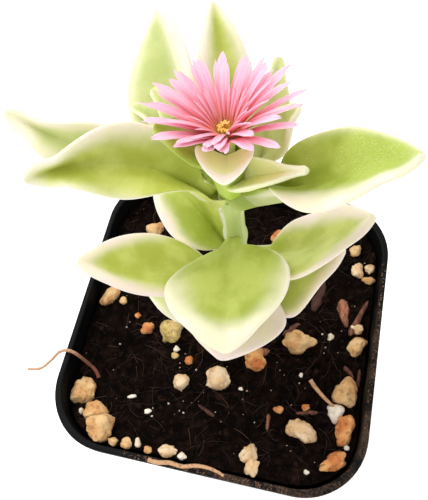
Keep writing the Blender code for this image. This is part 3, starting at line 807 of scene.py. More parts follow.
# Its course, mm, over the rim; where the height is 0 it lies on the soil
ROOT_PATH = ((-23.2, -16.2, 0), (-24.2, -15.0, 0), (-25.7, -14.1, 0), (-27.3, -13.4, -0.3),
             (-28.6, -13.1, 0.7), (-29.9, -13.2, 0.85), (-31.2, -13.9, 0.4),
             (-32.4, -15.5, -0.2), (-34.2, -17.3, -0.8), (-36.9, -17.9, -1.2))
ROOT_RADIUS = 0.00042
ROOT_LIFT = 0.0004
ROOT_SIDES = 14


def lay_root():
    route = []
    for x, y, z in ROOT_PATH:
        spot = over(POT_HEIGHT, x, y, z)
        if z == 0:
            spot.z = soil_height(x * MM, y * MM) + ROOT_RADIUS + ROOT_LIFT
        route.append(spot)
    path = smooth_path(route, 12)
    radii = []
    along = []
    for k in range(len(path)):
        share = k / (len(path) - 1)
        knot = 0.12 * noise.noise(Vector((k * 0.21, 3.0, 1.0)))
        radii.append(ROOT_RADIUS * (0.95 - 0.4 * share + knot))
        along += [share] * ROOT_SIDES
    skin = Skin("dry_root_skin", 0.7)
    streak = skin.cloud(0.0005, 4.0, 0.7)
    skin.colour((110, 56, 40), (skin.mark("along").step(0.15, 0.55), (206, 158, 122)),
                (streak.step(0.5, 0.72) * 0.6, (110, 66, 46)))
    skin.relief(streak, 0.0002, 0.8)
    root = piece("stray_root_skin", *skin_over(strand(path, radii, ROOT_SIDES)), skin, 60.0,
                 {"along": along})
    settle(root, "stray_root")


lay_root()


# The stem
# One juicy upright stem, faintly four-sided and swollen at each pair of leaves. Its
# green skin carries two cream stripes and fine glassy blisters.

STEM_SIDES = 40
STEM_ROWS = 120
STEM_BURIED = 0.004
STEM_RIDGE = 0.03
STEM_UNEVEN = 0.00004
BROAD_STRIPE = radians(198.0)
NARROW_STRIPE = radians(338.0)


def by_stem(radius, angle, z):
    """A point at a distance from the stem's axis, in a direction round it."""
    return Vector((STEM_X + radius * cos(angle), STEM_Y + radius * sin(angle), z))


def grow_stem():
    """The stem's column, its stripes carried as a value on its points."""
    levels = [STEM_FOOT, SOIL_TOP - STEM_BURIED]
    levels += [SOIL_TOP - MM + (STEM_TOP - SOIL_TOP + MM) * k / STEM_ROWS
               for k in range(STEM_ROWS + 1)]
    rings = []
    stripe = []
    for z in levels:
        base = stem_radius(z)
        ring = []
        for j in range(STEM_SIDES):
            a = 2 * pi * j / STEM_SIDES
            r = base * (1.01 + STEM_RIDGE * cos(4 * a + 0.6))
            r += STEM_UNEVEN * noise.noise(Vector((cos(a) * 2, sin(a) * 2, z / MM * 0.4)))
            ring.append(by_stem(r, a, z))
            stripe.append(max(cos(a - BROAD_STRIPE) * 1.9 - 1.3, cos(a - NARROW_STRIPE) * 6.0 - 5.7))
        rings.append(ring)
    skin = Skin("stem_skin", 0.42, IOR=1.4, Subsurface_Weight=0.2, Subsurface_Scale=0.0015,
                Subsurface_Radius=(1.0, 0.9, 0.4))
    wave = skin.cloud(0.0016, 3.0, 0.5, (1.0, 1.0, 0.2))
    blister = skin.cells(0.00032)
    pale = (skin.mark("stripe") + (wave - 0.5) * 0.5).step(0.0, 0.42)
    skin.colour((196, 212, 130), (wave.step(0.35, 0.65), (210, 224, 154)), (pale, (232, 236, 204)),
                ((1.0 - blister.step(0.1, 0.3)) * 0.25, (226, 238, 190)))
    skin.feed("Roughness", 0.34 + wave * 0.2)
    skin.relief(1.0 - blister.step(0.05, 0.5), 0.00006, 0.6)
    stem = piece("stem_column", *skin_over(rings), skin, 50.0, {"stripe": stripe})
    settle(stem, "stem")


grow_stem()


# The single leaves
# Fleshy heart-shaped blades in crossed pairs, folded a little along the midrib. Green
# runs out in a soft flame from the foot and the margins are cream flushed with pink.

COLLAR_FOOT = POT_HEIGHT + 0.0450
COLLAR_CLIMB = 0.0031
COLLAR_THICK = 0.0008
COLLAR_PULL = 0.0003
COLLAR_ROWS = 8
RAIL_STEPS = 96
BLADE_ROWS = 64
BLADE_COLUMNS = 24
BLADE_GAP = 0.0003
BLUNT_FROM = 0.96
RIPPLE = 0.05
CROWN = 0.18


class Blade:
    """Sizes of one blade: lengths in mm but thick in m, turns in degrees, the rest shares."""

    sweep = droop = roll = twist = lean = 0
    stand = 0.45
    stalk = 0.16
    foot = 3.4
    rise = 0.62
    fall = 0.86
    tip = 0.6
    thick = 0.0018
    curl = 0.1
    groove = 0.12
    hollow = False
    clasp = None
    soft = 0.2
    under = 0.55
    rim = 1.0

    def __init__(self, **given):
        self.__dict__.update(given)


def smooth_step(t):
    t = min(max(t, 0.0), 1.0)
    return t * t * (3 - 2 * t)


def between(low, high, value):
    """Smooth rise of a value from 0 at low to 1 at high."""
    return smooth_step((value - low) / (high - low))


def oval(q, rise, fall):
    """Outline of a blade, 1 where it is widest and 0 at both ends."""
    if q <= 0.0 or q >= 1.0:
        return 0.0
    middle = rise / (rise + fall)
    return (q / middle) ** rise * ((1 - q) / (1 - middle)) ** fall


def three_way(values, t, middle=0.5):
    """A value given at the foot, the middle and the tip of a blade."""
    if t < middle:
        return values[0] + (values[1] - values[0]) * smooth_step(t / middle)
    return values[1] + (values[2] - values[1]) * smooth_step((t - middle) / (1 - middle))


def midrib(base, leaf):
    """Point, forward and right at even steps along a blade."""
    rail = []
    for k in range(RAIL_STEPS + 1):
        t = k / RAIL_STEPS
        h = radians(leaf.heading + leaf.sweep * t)
        p = radians(leaf.pitch + leaf.droop * t)
        r = radians(leaf.roll + leaf.twist * t)
        ahead = Vector((cos(h) * cos(p), sin(h) * cos(p), sin(p)))
        right = Vector((sin(h), -cos(h), 0))
        rail.append((base, ahead, right * cos(r) + right.cross(ahead) * sin(r)))
        base = base + ahead * (leaf.length * MM / RAIL_STEPS)
    return rail


def half_width(leaf, q):
    """Half width of a blade past its stalk, q going from 0 there to 1 at the tip."""
    w = hypot(leaf.foot / 2 * MM * (1 - q) ** 0.7,
              leaf.width / 2 * MM * oval(q, leaf.rise, leaf.fall))
    if q > 0.8:
        end = max(0.0, (q - BLUNT_FROM) / (1 - BLUNT_FROM))
        w = hypot(w, leaf.tip * MM * between(0.8, BLUNT_FROM, q) * sqrt(max(0.0, 1 - end ** 2)))
    return w


def greenness(leaf, u, t, seed, face):
    """How green a blade is, from 0 in its cream to 1, u across it and t along it."""
    cloud = noise.noise(Vector((u * 1.6, t * 3.2, seed)))
    fine = noise.noise(Vector((u * 5.0, t * 7.0, seed + 4)))
    limit = three_way(leaf.left if u < 0 else leaf.right, t)
    edge = between(limit + leaf.soft, limit - leaf.soft, abs(u) + 0.12 * cloud + 0.04 * fine)
    flow = edge * between(leaf.reach + 0.1, leaf.reach - 0.12, t + 0.06 * cloud)
    if face < 0:
        flow *= leaf.under
    return flow * (1 - leaf.rim * between(0.9, 1.0, abs(u)) * between(0.0, 0.3, t))


def clasp_rings(first, leaf, columns):
    """Rings by which the foot of a blade closes round its side of the stem."""
    left, right = leaf.clasp
    inner = stem_radius(STEM_NODES[-1]) + SLACK
    collar = []
    for face in (1, -1):
        for c in range(columns):
            u = sin((-1 + 2 * c / columns) * face * pi / 2)
            climb = abs(u) ** 1.5
            r = inner - COLLAR_PULL * climb
            if face < 0:
                r += COLLAR_THICK * sqrt(max(0.0, 1 - u ** 4))
            collar.append(by_stem(r, radians(leaf.round - u * (right if u > 0 else left)),
                                  COLLAR_FOOT + COLLAR_CLIMB * climb))
    return [[p.lerp(q, k / COLLAR_ROWS) for p, q in zip(collar, first)]
            for k in range(COLLAR_ROWS)]


def grow_blade(name, base, leaf, skin, sink=1.1, rows=BLADE_ROWS, columns=BLADE_COLUMNS):
    """A fleshy blade whose points carry how green they are and how near the midrib, for painted shade
    along its crease.
    """
    rail = midrib(base, leaf)
    lean = radians(leaf.lean)
    seed = leaf.heading * 0.13 + leaf.length
    rings = []
    green = []
    crease_shade = []
    for k in range(-1, rows + 1):
        t = 0.992 * sin(max(k, 0) / rows * pi / 2) ** 1.15
        step = min(int(t * RAIL_STEPS), RAIL_STEPS - 1)
        centre, ahead, right = [here.lerp(there, t * RAIL_STEPS - step)
                                for here, there in zip(rail[step], rail[step + 1])]
        ahead.normalize()
        right.normalize()
        up = right.cross(ahead)
        q = max((t - leaf.stalk) / (1 - leaf.stalk), 0.0)
        w = half_width(leaf, q)
        if k < 0:
            centre = centre - ahead * (sink * MM)
            w *= 0.7
        fold = radians(three_way(leaf.fold, q, 0.45) * (1.0 - 0.75 * between(0.78, 1.0, q)))
        body = leaf.thick * (1 - 0.45 * q * q)
        curl = leaf.curl * smooth_step(q / 0.3)
        ring = []
        for face in (1, -1):
            for c in range(columns):
                u = sin((-1 + 2 * c / columns) * face * pi / 2)
                brim = abs(u) ** 3
                tilt = fold + (lean if u > 0 else -lean) * min(1.0, abs(u) * 3)
                crown = sqrt(u * u + CROWN ** 2)
                bow = u * u if leaf.hollow else (crown - CROWN) / (sqrt(1 + CROWN ** 2) - CROWN)
                ripple = RIPPLE * sin(9.0 * t + seed + (1.3 if u > 0 else 0)) * brim * q
                rise = w * (sin(tilt) * bow - curl * brim + ripple)
                flesh = face * body / 2 * sqrt(max(0.0, 1 - u ** 4))
                if face > 0:
                    flesh -= leaf.groove * MM * exp(-(u * w / (0.35 * MM)) ** 2) * (1 - t)
                rise += flesh / max(cos(tilt * u / crown), 0.7)
                ring.append(centre + right * (w * u * cos(tilt)) + up * rise)
                green.append(greenness(leaf, u, t, seed, face))
                crease_shade.append(exp(-(u * w / (0.45 * MM)) ** 2) * between(0.95, 0.3, t))
        rings.append(ring)
    count = 2 * columns
    if leaf.clasp:
        rings[:1] = clasp_rings(rings[1], leaf, columns)
        green[:count] = [0.8] * count * COLLAR_ROWS
        crease_shade[:count] = [0.0] * count * COLLAR_ROWS
    points, faces = skin_over(rings, False)
    last = len(points) - count
    faces += [(last + k, last + (k + 1) % count, len(points)) for k in range(count)]
    points.append(rail[-1][0])
    return piece(name, points, faces, skin, 65.0, {"green": green + [0.0], "crease_shade": crease_shade + [0.0]})


def leaf_skin(name, greens, creams, glass):
    """Succulent leaf skin: green running into cream under a coat of fine blisters, with painted shade
    darkening the midrib crease.
    """
    deep, fresh = greens
    cream, blush = creams
    skin = Skin(name, 0.42, IOR=1.36, Subsurface_Weight=0.25, Subsurface_Scale=0.0016,
                Subsurface_Radius=(1.0, 0.9, 0.45))
    broad = skin.cloud(0.0045, 3.0, 0.5)
    mottle = skin.cloud(0.0011, 4.0, 0.6)
    blister = skin.cells(0.00022)
    share = (skin.mark("green") + (mottle - 0.5) * 0.12).step(-0.05, 1.0)
    leaf = skin.mix(broad.step(0.36, 0.64), deep, fresh)
    # Painted shade darkens the blade along its midrib crease
    leaf = skin.mix(skin.mark("crease_shade") * 0.3, leaf, deep)
    rim = skin.mix(broad.step(0.42, 0.6), cream, blush)
    frost = share.step(0.5, 0.95) * broad.step(0.45, 0.6) * glass
    skin.colour(rim, (share, leaf), ((1.0 - blister.step(0.15, 0.4)) * frost, (226, 232, 186)),
                (blister.step(0.4, 0.65) * frost * 0.5, deep))
    skin.feed("Roughness", 0.4 + mottle * 0.2)
    skin.relief(1.0 - blister.step(0.05, 0.6), 0.00005, 0.5)
    return skin


def on_stem(leaf):
    """Where the midrib of a leaf starts, just off the stem."""
    z = POT_HEIGHT + leaf.level * MM
    reach = stem_radius(z) + BLADE_GAP + leaf.stand * MM + leaf.thick / 2 * sin(radians(leaf.pitch))
    return by_stem(reach, radians(leaf.round), z)


# Level over the rim, place round the stem, blade angles and how far the green reaches
LEAVES = {
    "leaf_top_left": Blade(
        level=46.3, round=-168, stand=1.0, heading=170, pitch=47, droop=-47, sweep=54, roll=5,
        twist=69, lean=-8, length=23.3, width=11.0, fold=(60, 36, 67), stalk=0.08, rise=0.6,
        foot=3.6, clasp=(78, 88), left=(1.9, 0.95, 0.55), right=(1.4, 0.65, 0.45), reach=0.97,
        soft=0.5),
    "leaf_top_right": Blade(
        level=45.9, round=6, stand=0.8, heading=-8, pitch=39, droop=5, sweep=10, roll=13, twist=-9,
        lean=-3, length=23.0, width=12.9, fold=(55, 27, 33), stalk=0.2, rise=0.55, foot=4.0,
        clasp=(88, 96), left=(1.3, 0.95, 0.75), right=(1.9, 0.6, 0.6), reach=1.0, soft=0.35),
    "leaf_top_back": Blade(
        level=44.8, round=92, stand=0.8, heading=108, pitch=52, droop=-31, sweep=2, roll=-16,
        twist=-3, lean=-2, length=22.5, width=8.0, fold=(40, 21, 26), foot=2.4,
        left=(1.0, 0.6, 0.4), right=(1.0, 0.55, 0.4), reach=1.0, soft=0.5),
    "leaf_low_front": Blade(
        level=37.2, round=-86, stand=0.75, heading=-87, pitch=19, droop=-37, sweep=12, roll=-17,
        twist=25, lean=-8, length=15.5, width=17.6, fold=(0, 8, 29), stalk=0.03, rise=0.5,
        foot=3.8, left=(1.3, 0.85, 0.4), right=(1.1, 0.7, 0.3), reach=0.78, soft=0.5),
    "leaf_low_back": Blade(
        level=26.3, round=130, stand=0.8, heading=145, pitch=27, droop=-33, sweep=-3, roll=31,
        lean=4, length=19.6, width=12.9, fold=(60, 35, 10), stalk=0.04, rise=0.42, groove=0.4,
        left=(0.9, 0.6, 0.4), right=(1.3, 1.1, 0.6), reach=0.9, soft=0.35),
    "leaf_low_left": Blade(
        level=27.5, round=-146, heading=-144, pitch=28, droop=5, sweep=-24, roll=-8, lean=-7,
        length=23.0, width=12.8, fold=(19, 17, 18), stalk=0.15, left=(1.1, 0.85, 0.4),
        right=(1.2, 0.78, 0.46), reach=0.9, soft=0.36),
    "leaf_low_right": Blade(
        level=29.6, round=-10, heading=-12, pitch=37, droop=13, sweep=39, roll=12, twist=17,
        lean=3, length=21.5, width=14.1, fold=(29, 14, 20), stalk=0.15, left=(0.8, 0.55, 0.32),
        right=(1.3, 1.0, 0.55), reach=0.93, soft=0.36),
    "leaf_base_front": Blade(
        level=26.7, round=-82, stand=0.85, heading=-86, pitch=22, droop=-37, sweep=-5, roll=-9,
        twist=-15, lean=-2, length=13.9, width=16.4, fold=(25, -10, 4), left=(0.7, 0.4, 0.2),
        right=(0.7, 0.4, 0.2), reach=0.5, soft=0.4),
    "leaf_base_left": Blade(
        level=21.2, round=-160, heading=-154, pitch=9, droop=-31, sweep=-10, roll=2, twist=7,
        lean=3, length=13.8, width=13.6, fold=(35, 5, 18), left=(1.2, 0.9, 0.6),
        right=(1.2, 0.9, 0.6), reach=1.0, soft=0.4),
    "leaf_base_right": Blade(
        level=20.6, round=4, stand=0.65, heading=-13, pitch=48, droop=10, sweep=20, twist=3,
        length=20.4, width=16.1, fold=(34, 4, 19), left=(1.3, 1.1, 0.8), right=(1.2, 0.95, 0.6),
        reach=0.9, soft=0.4),
    "leaf_base_back": Blade(
        level=22.6, round=122, heading=136, pitch=10, droop=-20, length=10.0, width=7.0,
        fold=(25, 14, 14), left=(1.0, 0.8, 0.5), right=(1.0, 0.8, 0.5), reach=0.9, soft=0.3),
}

OLIVE = ((178, 188, 74), (202, 210, 108))
MOSS = ((160, 174, 60), (186, 198, 92))
GRASS = ((152, 172, 58), (178, 196, 88))
SAGE = ((194, 206, 128), (210, 218, 150))
CREAM = ((240, 236, 206), (242, 234, 216))
PINK_CREAM = ((238, 226, 206), (240, 222, 214))
LEAF_HUES = {
    "leaf_top_left": (OLIVE, CREAM, 0.15), "leaf_top_right": (GRASS, CREAM, 0.3),
    "leaf_top_back": (OLIVE, CREAM, 0.1), "leaf_low_front": (MOSS, CREAM, 0.15),
    "leaf_low_back": (MOSS, PINK_CREAM, 0.1), "leaf_low_left": (OLIVE, PINK_CREAM, 0.1),
    "leaf_low_right": (OLIVE, PINK_CREAM, 0.15), "leaf_base_front": (SAGE, PINK_CREAM, 0.15),
    "leaf_base_left": (SAGE, CREAM, 0.1), "leaf_base_right": (OLIVE, PINK_CREAM, 0.15),
    "leaf_base_back": (SAGE, CREAM, 0.1),
}


def grow_leaves():
    for name, leaf in LEAVES.items():
        skin = leaf_skin(name + "_skin", *LEAF_HUES[name])
        settle(grow_blade(name + "_blade", on_stem(leaf), leaf, skin), name)


grow_leaves()


# The side shoots
# Two short shoots rise behind the flower from the top pair's axils. Each is a stub of
# green stem with young, narrower leaves, paler than the old ones.

SHOOT_RADIUS = 0.0009
YOUNG = dict(left=(1.2, 1.0, 0.8), right=(1.2, 1.0, 0.8), reach=1.0, rim=0.3)
# Course of each stub over the rim, mm, and its leaves with their feet over the rim
SHOOTS = {
    "shoot_left": (((0.8, 3.3, 45.4), (0.3, 3.8, 47.0), (0.0, 4.2, 49.0)), (
        Blade(at=(-0.2, 4.1, 46.1), heading=193, pitch=14, droop=20, sweep=-19, roll=41, twist=2,
              lean=3, length=26.2, width=10.1, fold=(40, 32, 63), stalk=0.12, foot=2.0,
              left=(1.0, 0.6, 0.3), right=(1.2, 0.7, 0.4), reach=0.9, soft=0.5, under=0.7),
        Blade(at=(-1.2, 5.2, 45.6), heading=124, pitch=47, droop=-6, sweep=-13, roll=21, twist=19,
              lean=12, length=20.4, width=14.2, fold=(44, 33, 11), stalk=0.1, foot=2.6,
              left=(1.2, 0.9, 0.6), right=(0.45, 0.3, 0.2), reach=0.98, soft=0.5, under=0.9),
        Blade(at=(0.2, 4.2, 48.6), heading=142, pitch=33, droop=-10, length=11.5, width=4.8,
              fold=(40, 31, 37), stalk=0.1, foot=2.0, thick=0.0014, **YOUNG),
        Blade(at=(-0.1, 4.0, 48.2), heading=152, pitch=27, droop=-11, sweep=7, roll=-3, lean=-6,
              length=12.0, width=5.0, fold=(40, 44, 38), stalk=0.1, foot=2.0, thick=0.0014,
              **YOUNG))),
    "shoot_right": (((5.8, 4.3, 46.2), (6.1, 4.5, 47.4), (6.6, 4.7, 48.8)), (
        Blade(at=(6.5, 4.6, 48.0), heading=79, pitch=42, droop=-1, sweep=12, roll=-14, length=13.8,
              width=5.0, fold=(40, 25, 48), stalk=0.1, foot=2.2, thick=0.0015, **YOUNG),
        Blade(at=(6.5, 5.4, 47.4), heading=48, pitch=50, droop=4, sweep=-5, roll=11, length=9.8,
              width=6.6, fold=(40, 20, 38), stalk=0.1, foot=2.4, thick=0.0015,
              left=(1.2, 1.0, 0.7), right=(1.2, 0.9, 0.6), reach=1.0, rim=0.5))),
}


def green_shape(name, rings, skin, crease, share):
    """A shape in leaf skin that is equally green all over."""
    points, faces = skin_over(rings)
    marks = {"green": [share] * len(points), "crease_shade": [0.0] * len(points)}
    return piece(name, points, faces, skin, crease, marks)


def grow_shoots():
    for name, (course, leaves) in SHOOTS.items():
        skin = leaf_skin(name + "_skin", SAGE, CREAM, 0.15)
        path = smooth_path([over(POT_HEIGHT, *p) for p in course], 8)
        radii = [SHOOT_RADIUS * (1.0 - 0.2 * k / len(path)) for k in range(len(path))]
        settle(green_shape(name + "_stalk", strand(path, radii, 20), skin, 50.0, 0.9), name)
        for number, leaf in enumerate(leaves):
            rows, columns = (40, 16) if leaf.length < 15 else (BLADE_ROWS, BLADE_COLUMNS)
            blade = grow_blade(f"{name}_leaf_{number + 1}", over(POT_HEIGHT, *leaf.at), leaf, skin,
                               0.4, rows, columns)
            settle(blade, name)


grow_shoots()


# The calyx
# The fleshy green foot of the flower with its unequal lobes. Two are large and leaf-like:
# a cream one in front and a boat-shaped one with a blunt horn on the right.

CALYX_SIDES = 40
CALYX_RIB = 0.1
CALYX_INSET = 0.06
# Radius and height of the tube, up its outside and down into its cup, mm
CALYX_PROFILE = ((1.5, 0.0), (1.55, 1.5), (1.85, 4.0), (2.05, 6.0), (2.25, 7.8), (2.35, 9.4),
                 (1.75, 9.4), (1.55, 8.0), (1.3, 6.9))
LOBES = {
    "front": (((222, 240, 150), (230, 244, 172)), ((250, 250, 222), (252, 250, 228)), Blade(
        at=(4.0, 0.0, 56.3), heading=-82, pitch=12, droop=-24, length=3.2, width=4.4,
        fold=(34, 32, 22), stalk=0.02, rise=0.4, foot=7.4, thick=0.0011, hollow=True, curl=0.05,
        tip=0.3, left=(0.9, 0.7, 0.4), right=(0.9, 0.7, 0.4), reach=0.7, soft=0.5, under=0.5)),
    "right": (((238, 236, 166), (242, 242, 184)), ((246, 246, 204), (250, 248, 212)), Blade(
        at=(5.0, 1.3, 49.7), heading=-19, pitch=50, droop=-15, sweep=12, roll=-19, twist=-5,
        lean=-4, length=11.4, width=6.8, fold=(50, 56, 48), stalk=0.02, foot=3.0, fall=1.4,
        thick=0.0015, tip=0.5, hollow=True, left=(1.2, 1.0, 0.6), right=(1.2, 1.0, 0.6),
        reach=0.75, soft=0.4, under=1.0, rim=0.5)),
    "left": (GRASS, CREAM, Blade(
        at=(2.7, 1.3, 53.0), heading=175, pitch=42, droop=-15, length=9.0, width=7.0,
        fold=(40, 35, 30), stalk=0.02, foot=3.0, thick=0.0012, left=(1.3, 1.2, 1.0),
        right=(1.3, 1.2, 1.0), reach=1.1, rim=0.0)),
    "back": (GRASS, CREAM, Blade(
        at=(3.7, 2.0, 52.8), heading=95, pitch=38, droop=-10, length=5.0, width=5.0,
        fold=(35, 25, 25), stalk=0.02, foot=3.0, thick=0.0012, left=(1.3, 1.2, 1.0),
        right=(1.3, 1.2, 1.0), reach=1.1)),
}


def grow_calyx():
    rings = []
    for p in smooth_path([Vector((r, 0, h)) for r, h in CALYX_PROFILE], 8):
        ring = []
        for j in range(CALYX_SIDES):
            a = 2 * pi * j / CALYX_SIDES
            ring.append(by_stem((p.x + CALYX_RIB * cos(5 * a + 0.8) - CALYX_INSET) * MM, a,
                                STEM_TOP + p.z * MM))
        rings.append(ring)
    skin = leaf_skin("calyx_cup_skin", ((176, 202, 66), (196, 216, 104)), CREAM, 0.1)
    settle(green_shape("calyx_cup", rings, skin, 60.0, 0.95), "flower_calyx")
    for name, (greens, creams, lobe) in LOBES.items():
        skin = leaf_skin(name + "_lobe_skin", greens, creams, 0.12)
        settle(grow_blade(name + "_lobe", over(POT_HEIGHT, *lobe.at), lobe, skin, 0.3, 48, 20),
               "flower_calyx")


grow_calyx()


# The petals
# Narrow silky rays in crowded whorls round a shallow green receptacle. Each is grooved
# lengthwise, pale pink with deeper lines, coral at its foot and blunt or nicked at its tip.

FLOWER_TILT = radians(18.0)
HEAD_RIGHT = 0.0003
HEAD_NEAR = 0.0001
HEAD_LIFT = 0.0084
HEAD_FOOT = Vector((STEM_X + HEAD_RIGHT, STEM_Y - HEAD_NEAR, STEM_TOP + HEAD_LIFT))
# Radius and height of the receptacle, up its outside and down into its cup, mm
HEAD_PROFILE = ((0.7, 0.0), (0.85, 0.5), (1.0, 1.6), (1.4, 2.8), (1.5, 3.6), (1.35, 4.0),
                (1.05, 3.7), (0.9, 3.0))
FLOWER_UP = Vector((-sin(FLOWER_TILT) * 0.35, sin(FLOWER_TILT), cos(FLOWER_TILT))).normalized()
FLOWER_RIGHT = Vector((0, 1, 0)).cross(FLOWER_UP).normalized()
FLOWER_BACK = FLOWER_UP.cross(FLOWER_RIGHT)
# Count, first heading, rise, length and width, start height over the head's foot, mm
WHORLS = ((18, 4.0, 27.0, 8.7, 1.3, 2.9), (16, 15.0, 39.0, 8.5, 1.2, 3.3),
          (12, 9.0, 52.0, 7.2, 1.1, 3.7), (22, 3.0, 66.0, 4.2, 0.32, 3.8))
# How the lobes and leaves below hold the outer rays: direction, lift and reach, degrees
HELD = ((-43.0, -12.0, 14.0), (-85.0, 9.0, 30.0), (120.0, 7.0, 30.0))
# The flower is open towards the near side, where its inner rays lie down too: degrees
OPEN_SIDE = -95.0
OPEN_REACH = 56.0
OPEN_RISE = 24.0
PETAL_ROWS = 24
PETAL_COLUMNS = 8
PETAL_START = 0.0011
PETAL_THICK = 0.00013
ARCH = (14.0, 26.0)
GOLDEN_SHARE = 0.618034


def jitter(number, span):
    """An even spread of offsets up to span either way, one for each number."""
    return span * (2 * ((number * GOLDEN_SHARE) % 1.0) - 1)


def petal_width(share, blunt):
    """Width of a ray along its length; it narrows to its tip from blunt on."""
    body = (0.45 + 0.55 * between(0.0, 0.4, share)) * (1.0 - 0.12 * between(0.7, 1.0, share))
    tip = 1.0 - max(0.0, (share - blunt) / (1 - blunt)) ** 2
    return body * max(tip, 0.0) ** 0.8


def turned_off(heading, direction):
    """Degrees from a direction to a heading, the short way round."""
    return (heading - direction + 180.0) % 360.0 - 180.0


def petal_rows(number, heading, rise, length, width, start):
    """Middle surface of one ray: for each point its spot, its normal, u across and share along."""
    if start == WHORLS[0][-1]:
        rise += sum(lift * exp(-(turned_off(heading, direction) / reach) ** 2)
                    for direction, lift, reach in HELD)
    front = exp(-(turned_off(heading, OPEN_SIDE) / OPEN_REACH) ** 2)
    rise -= max(rise - OPEN_RISE, 0.0) * front
    length *= (1.0 - 0.42 * front ** 2.8) * MM
    a = radians(heading)
    out = FLOWER_RIGHT * cos(a) + FLOWER_BACK * sin(a)
    side = FLOWER_UP.cross(out)
    place = HEAD_FOOT + FLOWER_UP * start * MM + out * PETAL_START
    blunt = 0.84 + jitter(number * 3, 0.08)
    nick = 0.09 if number % 3 == 0 else 0.0
    skew = jitter(number * 11, 0.05)
    sway = jitter(number * 7, 0.10)
    twist = radians(jitter(number * 5, 16.0))
    rows = []
    for k in range(PETAL_ROWS + 1):
        share = k / PETAL_ROWS
        e = radians(rise + ARCH[0] - ARCH[1] * share)
        ahead = (out * cos(e) + FLOWER_UP * sin(e) + side * sway * share).normalized()
        if k:
            place = place + ahead * (length / PETAL_ROWS)
        flank = (side - ahead * side.dot(ahead)).normalized()
        normal = ahead.cross(flank)
        turn = twist * share
        flank, normal = (flank * cos(turn) + normal * sin(turn),
                         normal * cos(turn) - flank * sin(turn))
        w = width / 2 * petal_width(min(share, 0.98), blunt) * MM
        pull = length * between(0.75, 1.0, share)
        for c in range(PETAL_COLUMNS + 1):
            u = -1 + 2 * c / PETAL_COLUMNS
            dish = 0.16 * u * u - 0.06 * cos(2 * pi * u)
            rows.append((place + flank * u * w + normal * dish * w
                         + ahead * (skew * u - nick * (1 - abs(u))) * pull, normal, u, share))
    return rows


def petal_faces():
    """Faces of one ray: its upper side, its under side and the edge all round."""
    count = PETAL_COLUMNS + 1
    last = PETAL_ROWS * count
    under = last + count
    faces = []
    for low in range(0, last, count):
        for q in range(low, low + PETAL_COLUMNS):
            faces.append((q, q + 1, q + 1 + count, q + count))
            faces.append((under + q, under + q + count, under + q + 1 + count, under + q + 1))
        end = low + PETAL_COLUMNS
        faces.append((low, low + count, under + low + count, under + low))
        faces.append((end, under + end, under + end + count, end + count))
    for c in range(PETAL_COLUMNS):
        faces.append((c, under + c, under + c + 1, c + 1))
        faces.append((last + c, last + c + 1, under + last + c + 1, under + last + c))
    return faces


def petal_silk():
    skin = Skin("petal_silk", 0.5, IOR=1.36, Subsurface_Weight=0.3, Subsurface_Scale=0.0012,
                Subsurface_Radius=(1.0, 0.5, 0.5))
    along = skin.mark("along")
    vein = skin.node("ShaderNodeMath", {"operation": "SINE"}, {0: skin.mark("across") * 9.4})
    cloud = skin.cloud(0.0016, 3.0, 0.6)
    skin.colour((255, 176, 200), (along.step(0.35, 1.0), (255, 204, 222)),
                (skin.mark("tint") * 0.25, (255, 142, 174)),
                (vein.step(0.1, 1.0) * (1.0 - along * 0.5) * 0.34, (250, 120, 160)),
                ((1.0 - along.step(0.1, 0.72)) * 0.85, (255, 152, 134)),
                ((1.0 - along.step(0.0, 0.22)) * 0.8, (254, 190, 110)),
                (cloud.step(0.5, 0.75) * 0.25, (255, 206, 220)))
    skin.feed("Roughness", 0.42 + cloud * 0.2)
    skin.relief(vein * 0.5 + cloud * 0.3, 0.00006, 0.6)
    return skin


def open_flower():
    flower = Heap()
    along = []
    across = []
    number = 0
    for count, first, rise, length, width, start in WHORLS:
        for k in range(count):
            number += 1
            rows = petal_rows(number, first + 360.0 * k / count + jitter(number, 3.0),
                              rise + jitter(number + 5, 4.0),
                              length * (1 + jitter(number + 9, 0.06)), width, start)
            points = [spot + normal * face * PETAL_THICK * (1 - 0.8 * u * u) * (1.2 - 0.7 * share)
                      for face in (1, -1) for spot, normal, u, share in rows]
            flower.add(points, petal_faces(), (number * 0.37) % 1.0)
            along += [share for spot, normal, u, share in rows] * 2
            across += [u for spot, normal, u, share in rows] * 2
    flower.lay("petals", petal_silk(), 60.0, "flower_petals", "petal",
               along=along, across=across, tint=flower.tints)


def set_receptacle():
    rings = [circle(HEAD_FOOT + FLOWER_UP * p.z * MM, FLOWER_RIGHT, FLOWER_BACK,
                    (p.x - 0.05) * MM, 32)
             for p in smooth_path([Vector((r, 0, h)) for r, h in HEAD_PROFILE], 5)]
    skin = Skin("receptacle_skin", 0.5)
    soft = skin.cloud(0.0006, 4.0, 0.6)
    skin.colour((190, 200, 110), (soft.step(0.4, 0.7), (214, 206, 140)))
    skin.relief(skin.cells(0.0003), 0.0001, 0.6)
    settle(piece("receptacle", *skin_over(rings), skin, 60.0), "flower_petals")


open_flower()
set_receptacle()


# The stamens
# A tuft of thin yellow filaments, each with a powdery golden anther at its end. They
# grow close together from the floor of the receptacle's cup.

CUP_FLOOR = 0.0030
ANTHERS = 21
GOLDEN_TURN = radians(137.508)
ANTHER_SIZE = (0.00034, 0.00022, 0.0002)
TUFT_RADIUS = 0.0005
FILAMENT_LENGTH = 0.0014
FILAMENT_RADIUS = 0.00007
FILAMENT_SPREAD = 0.0004
FILAMENT_BOW = 0.0001


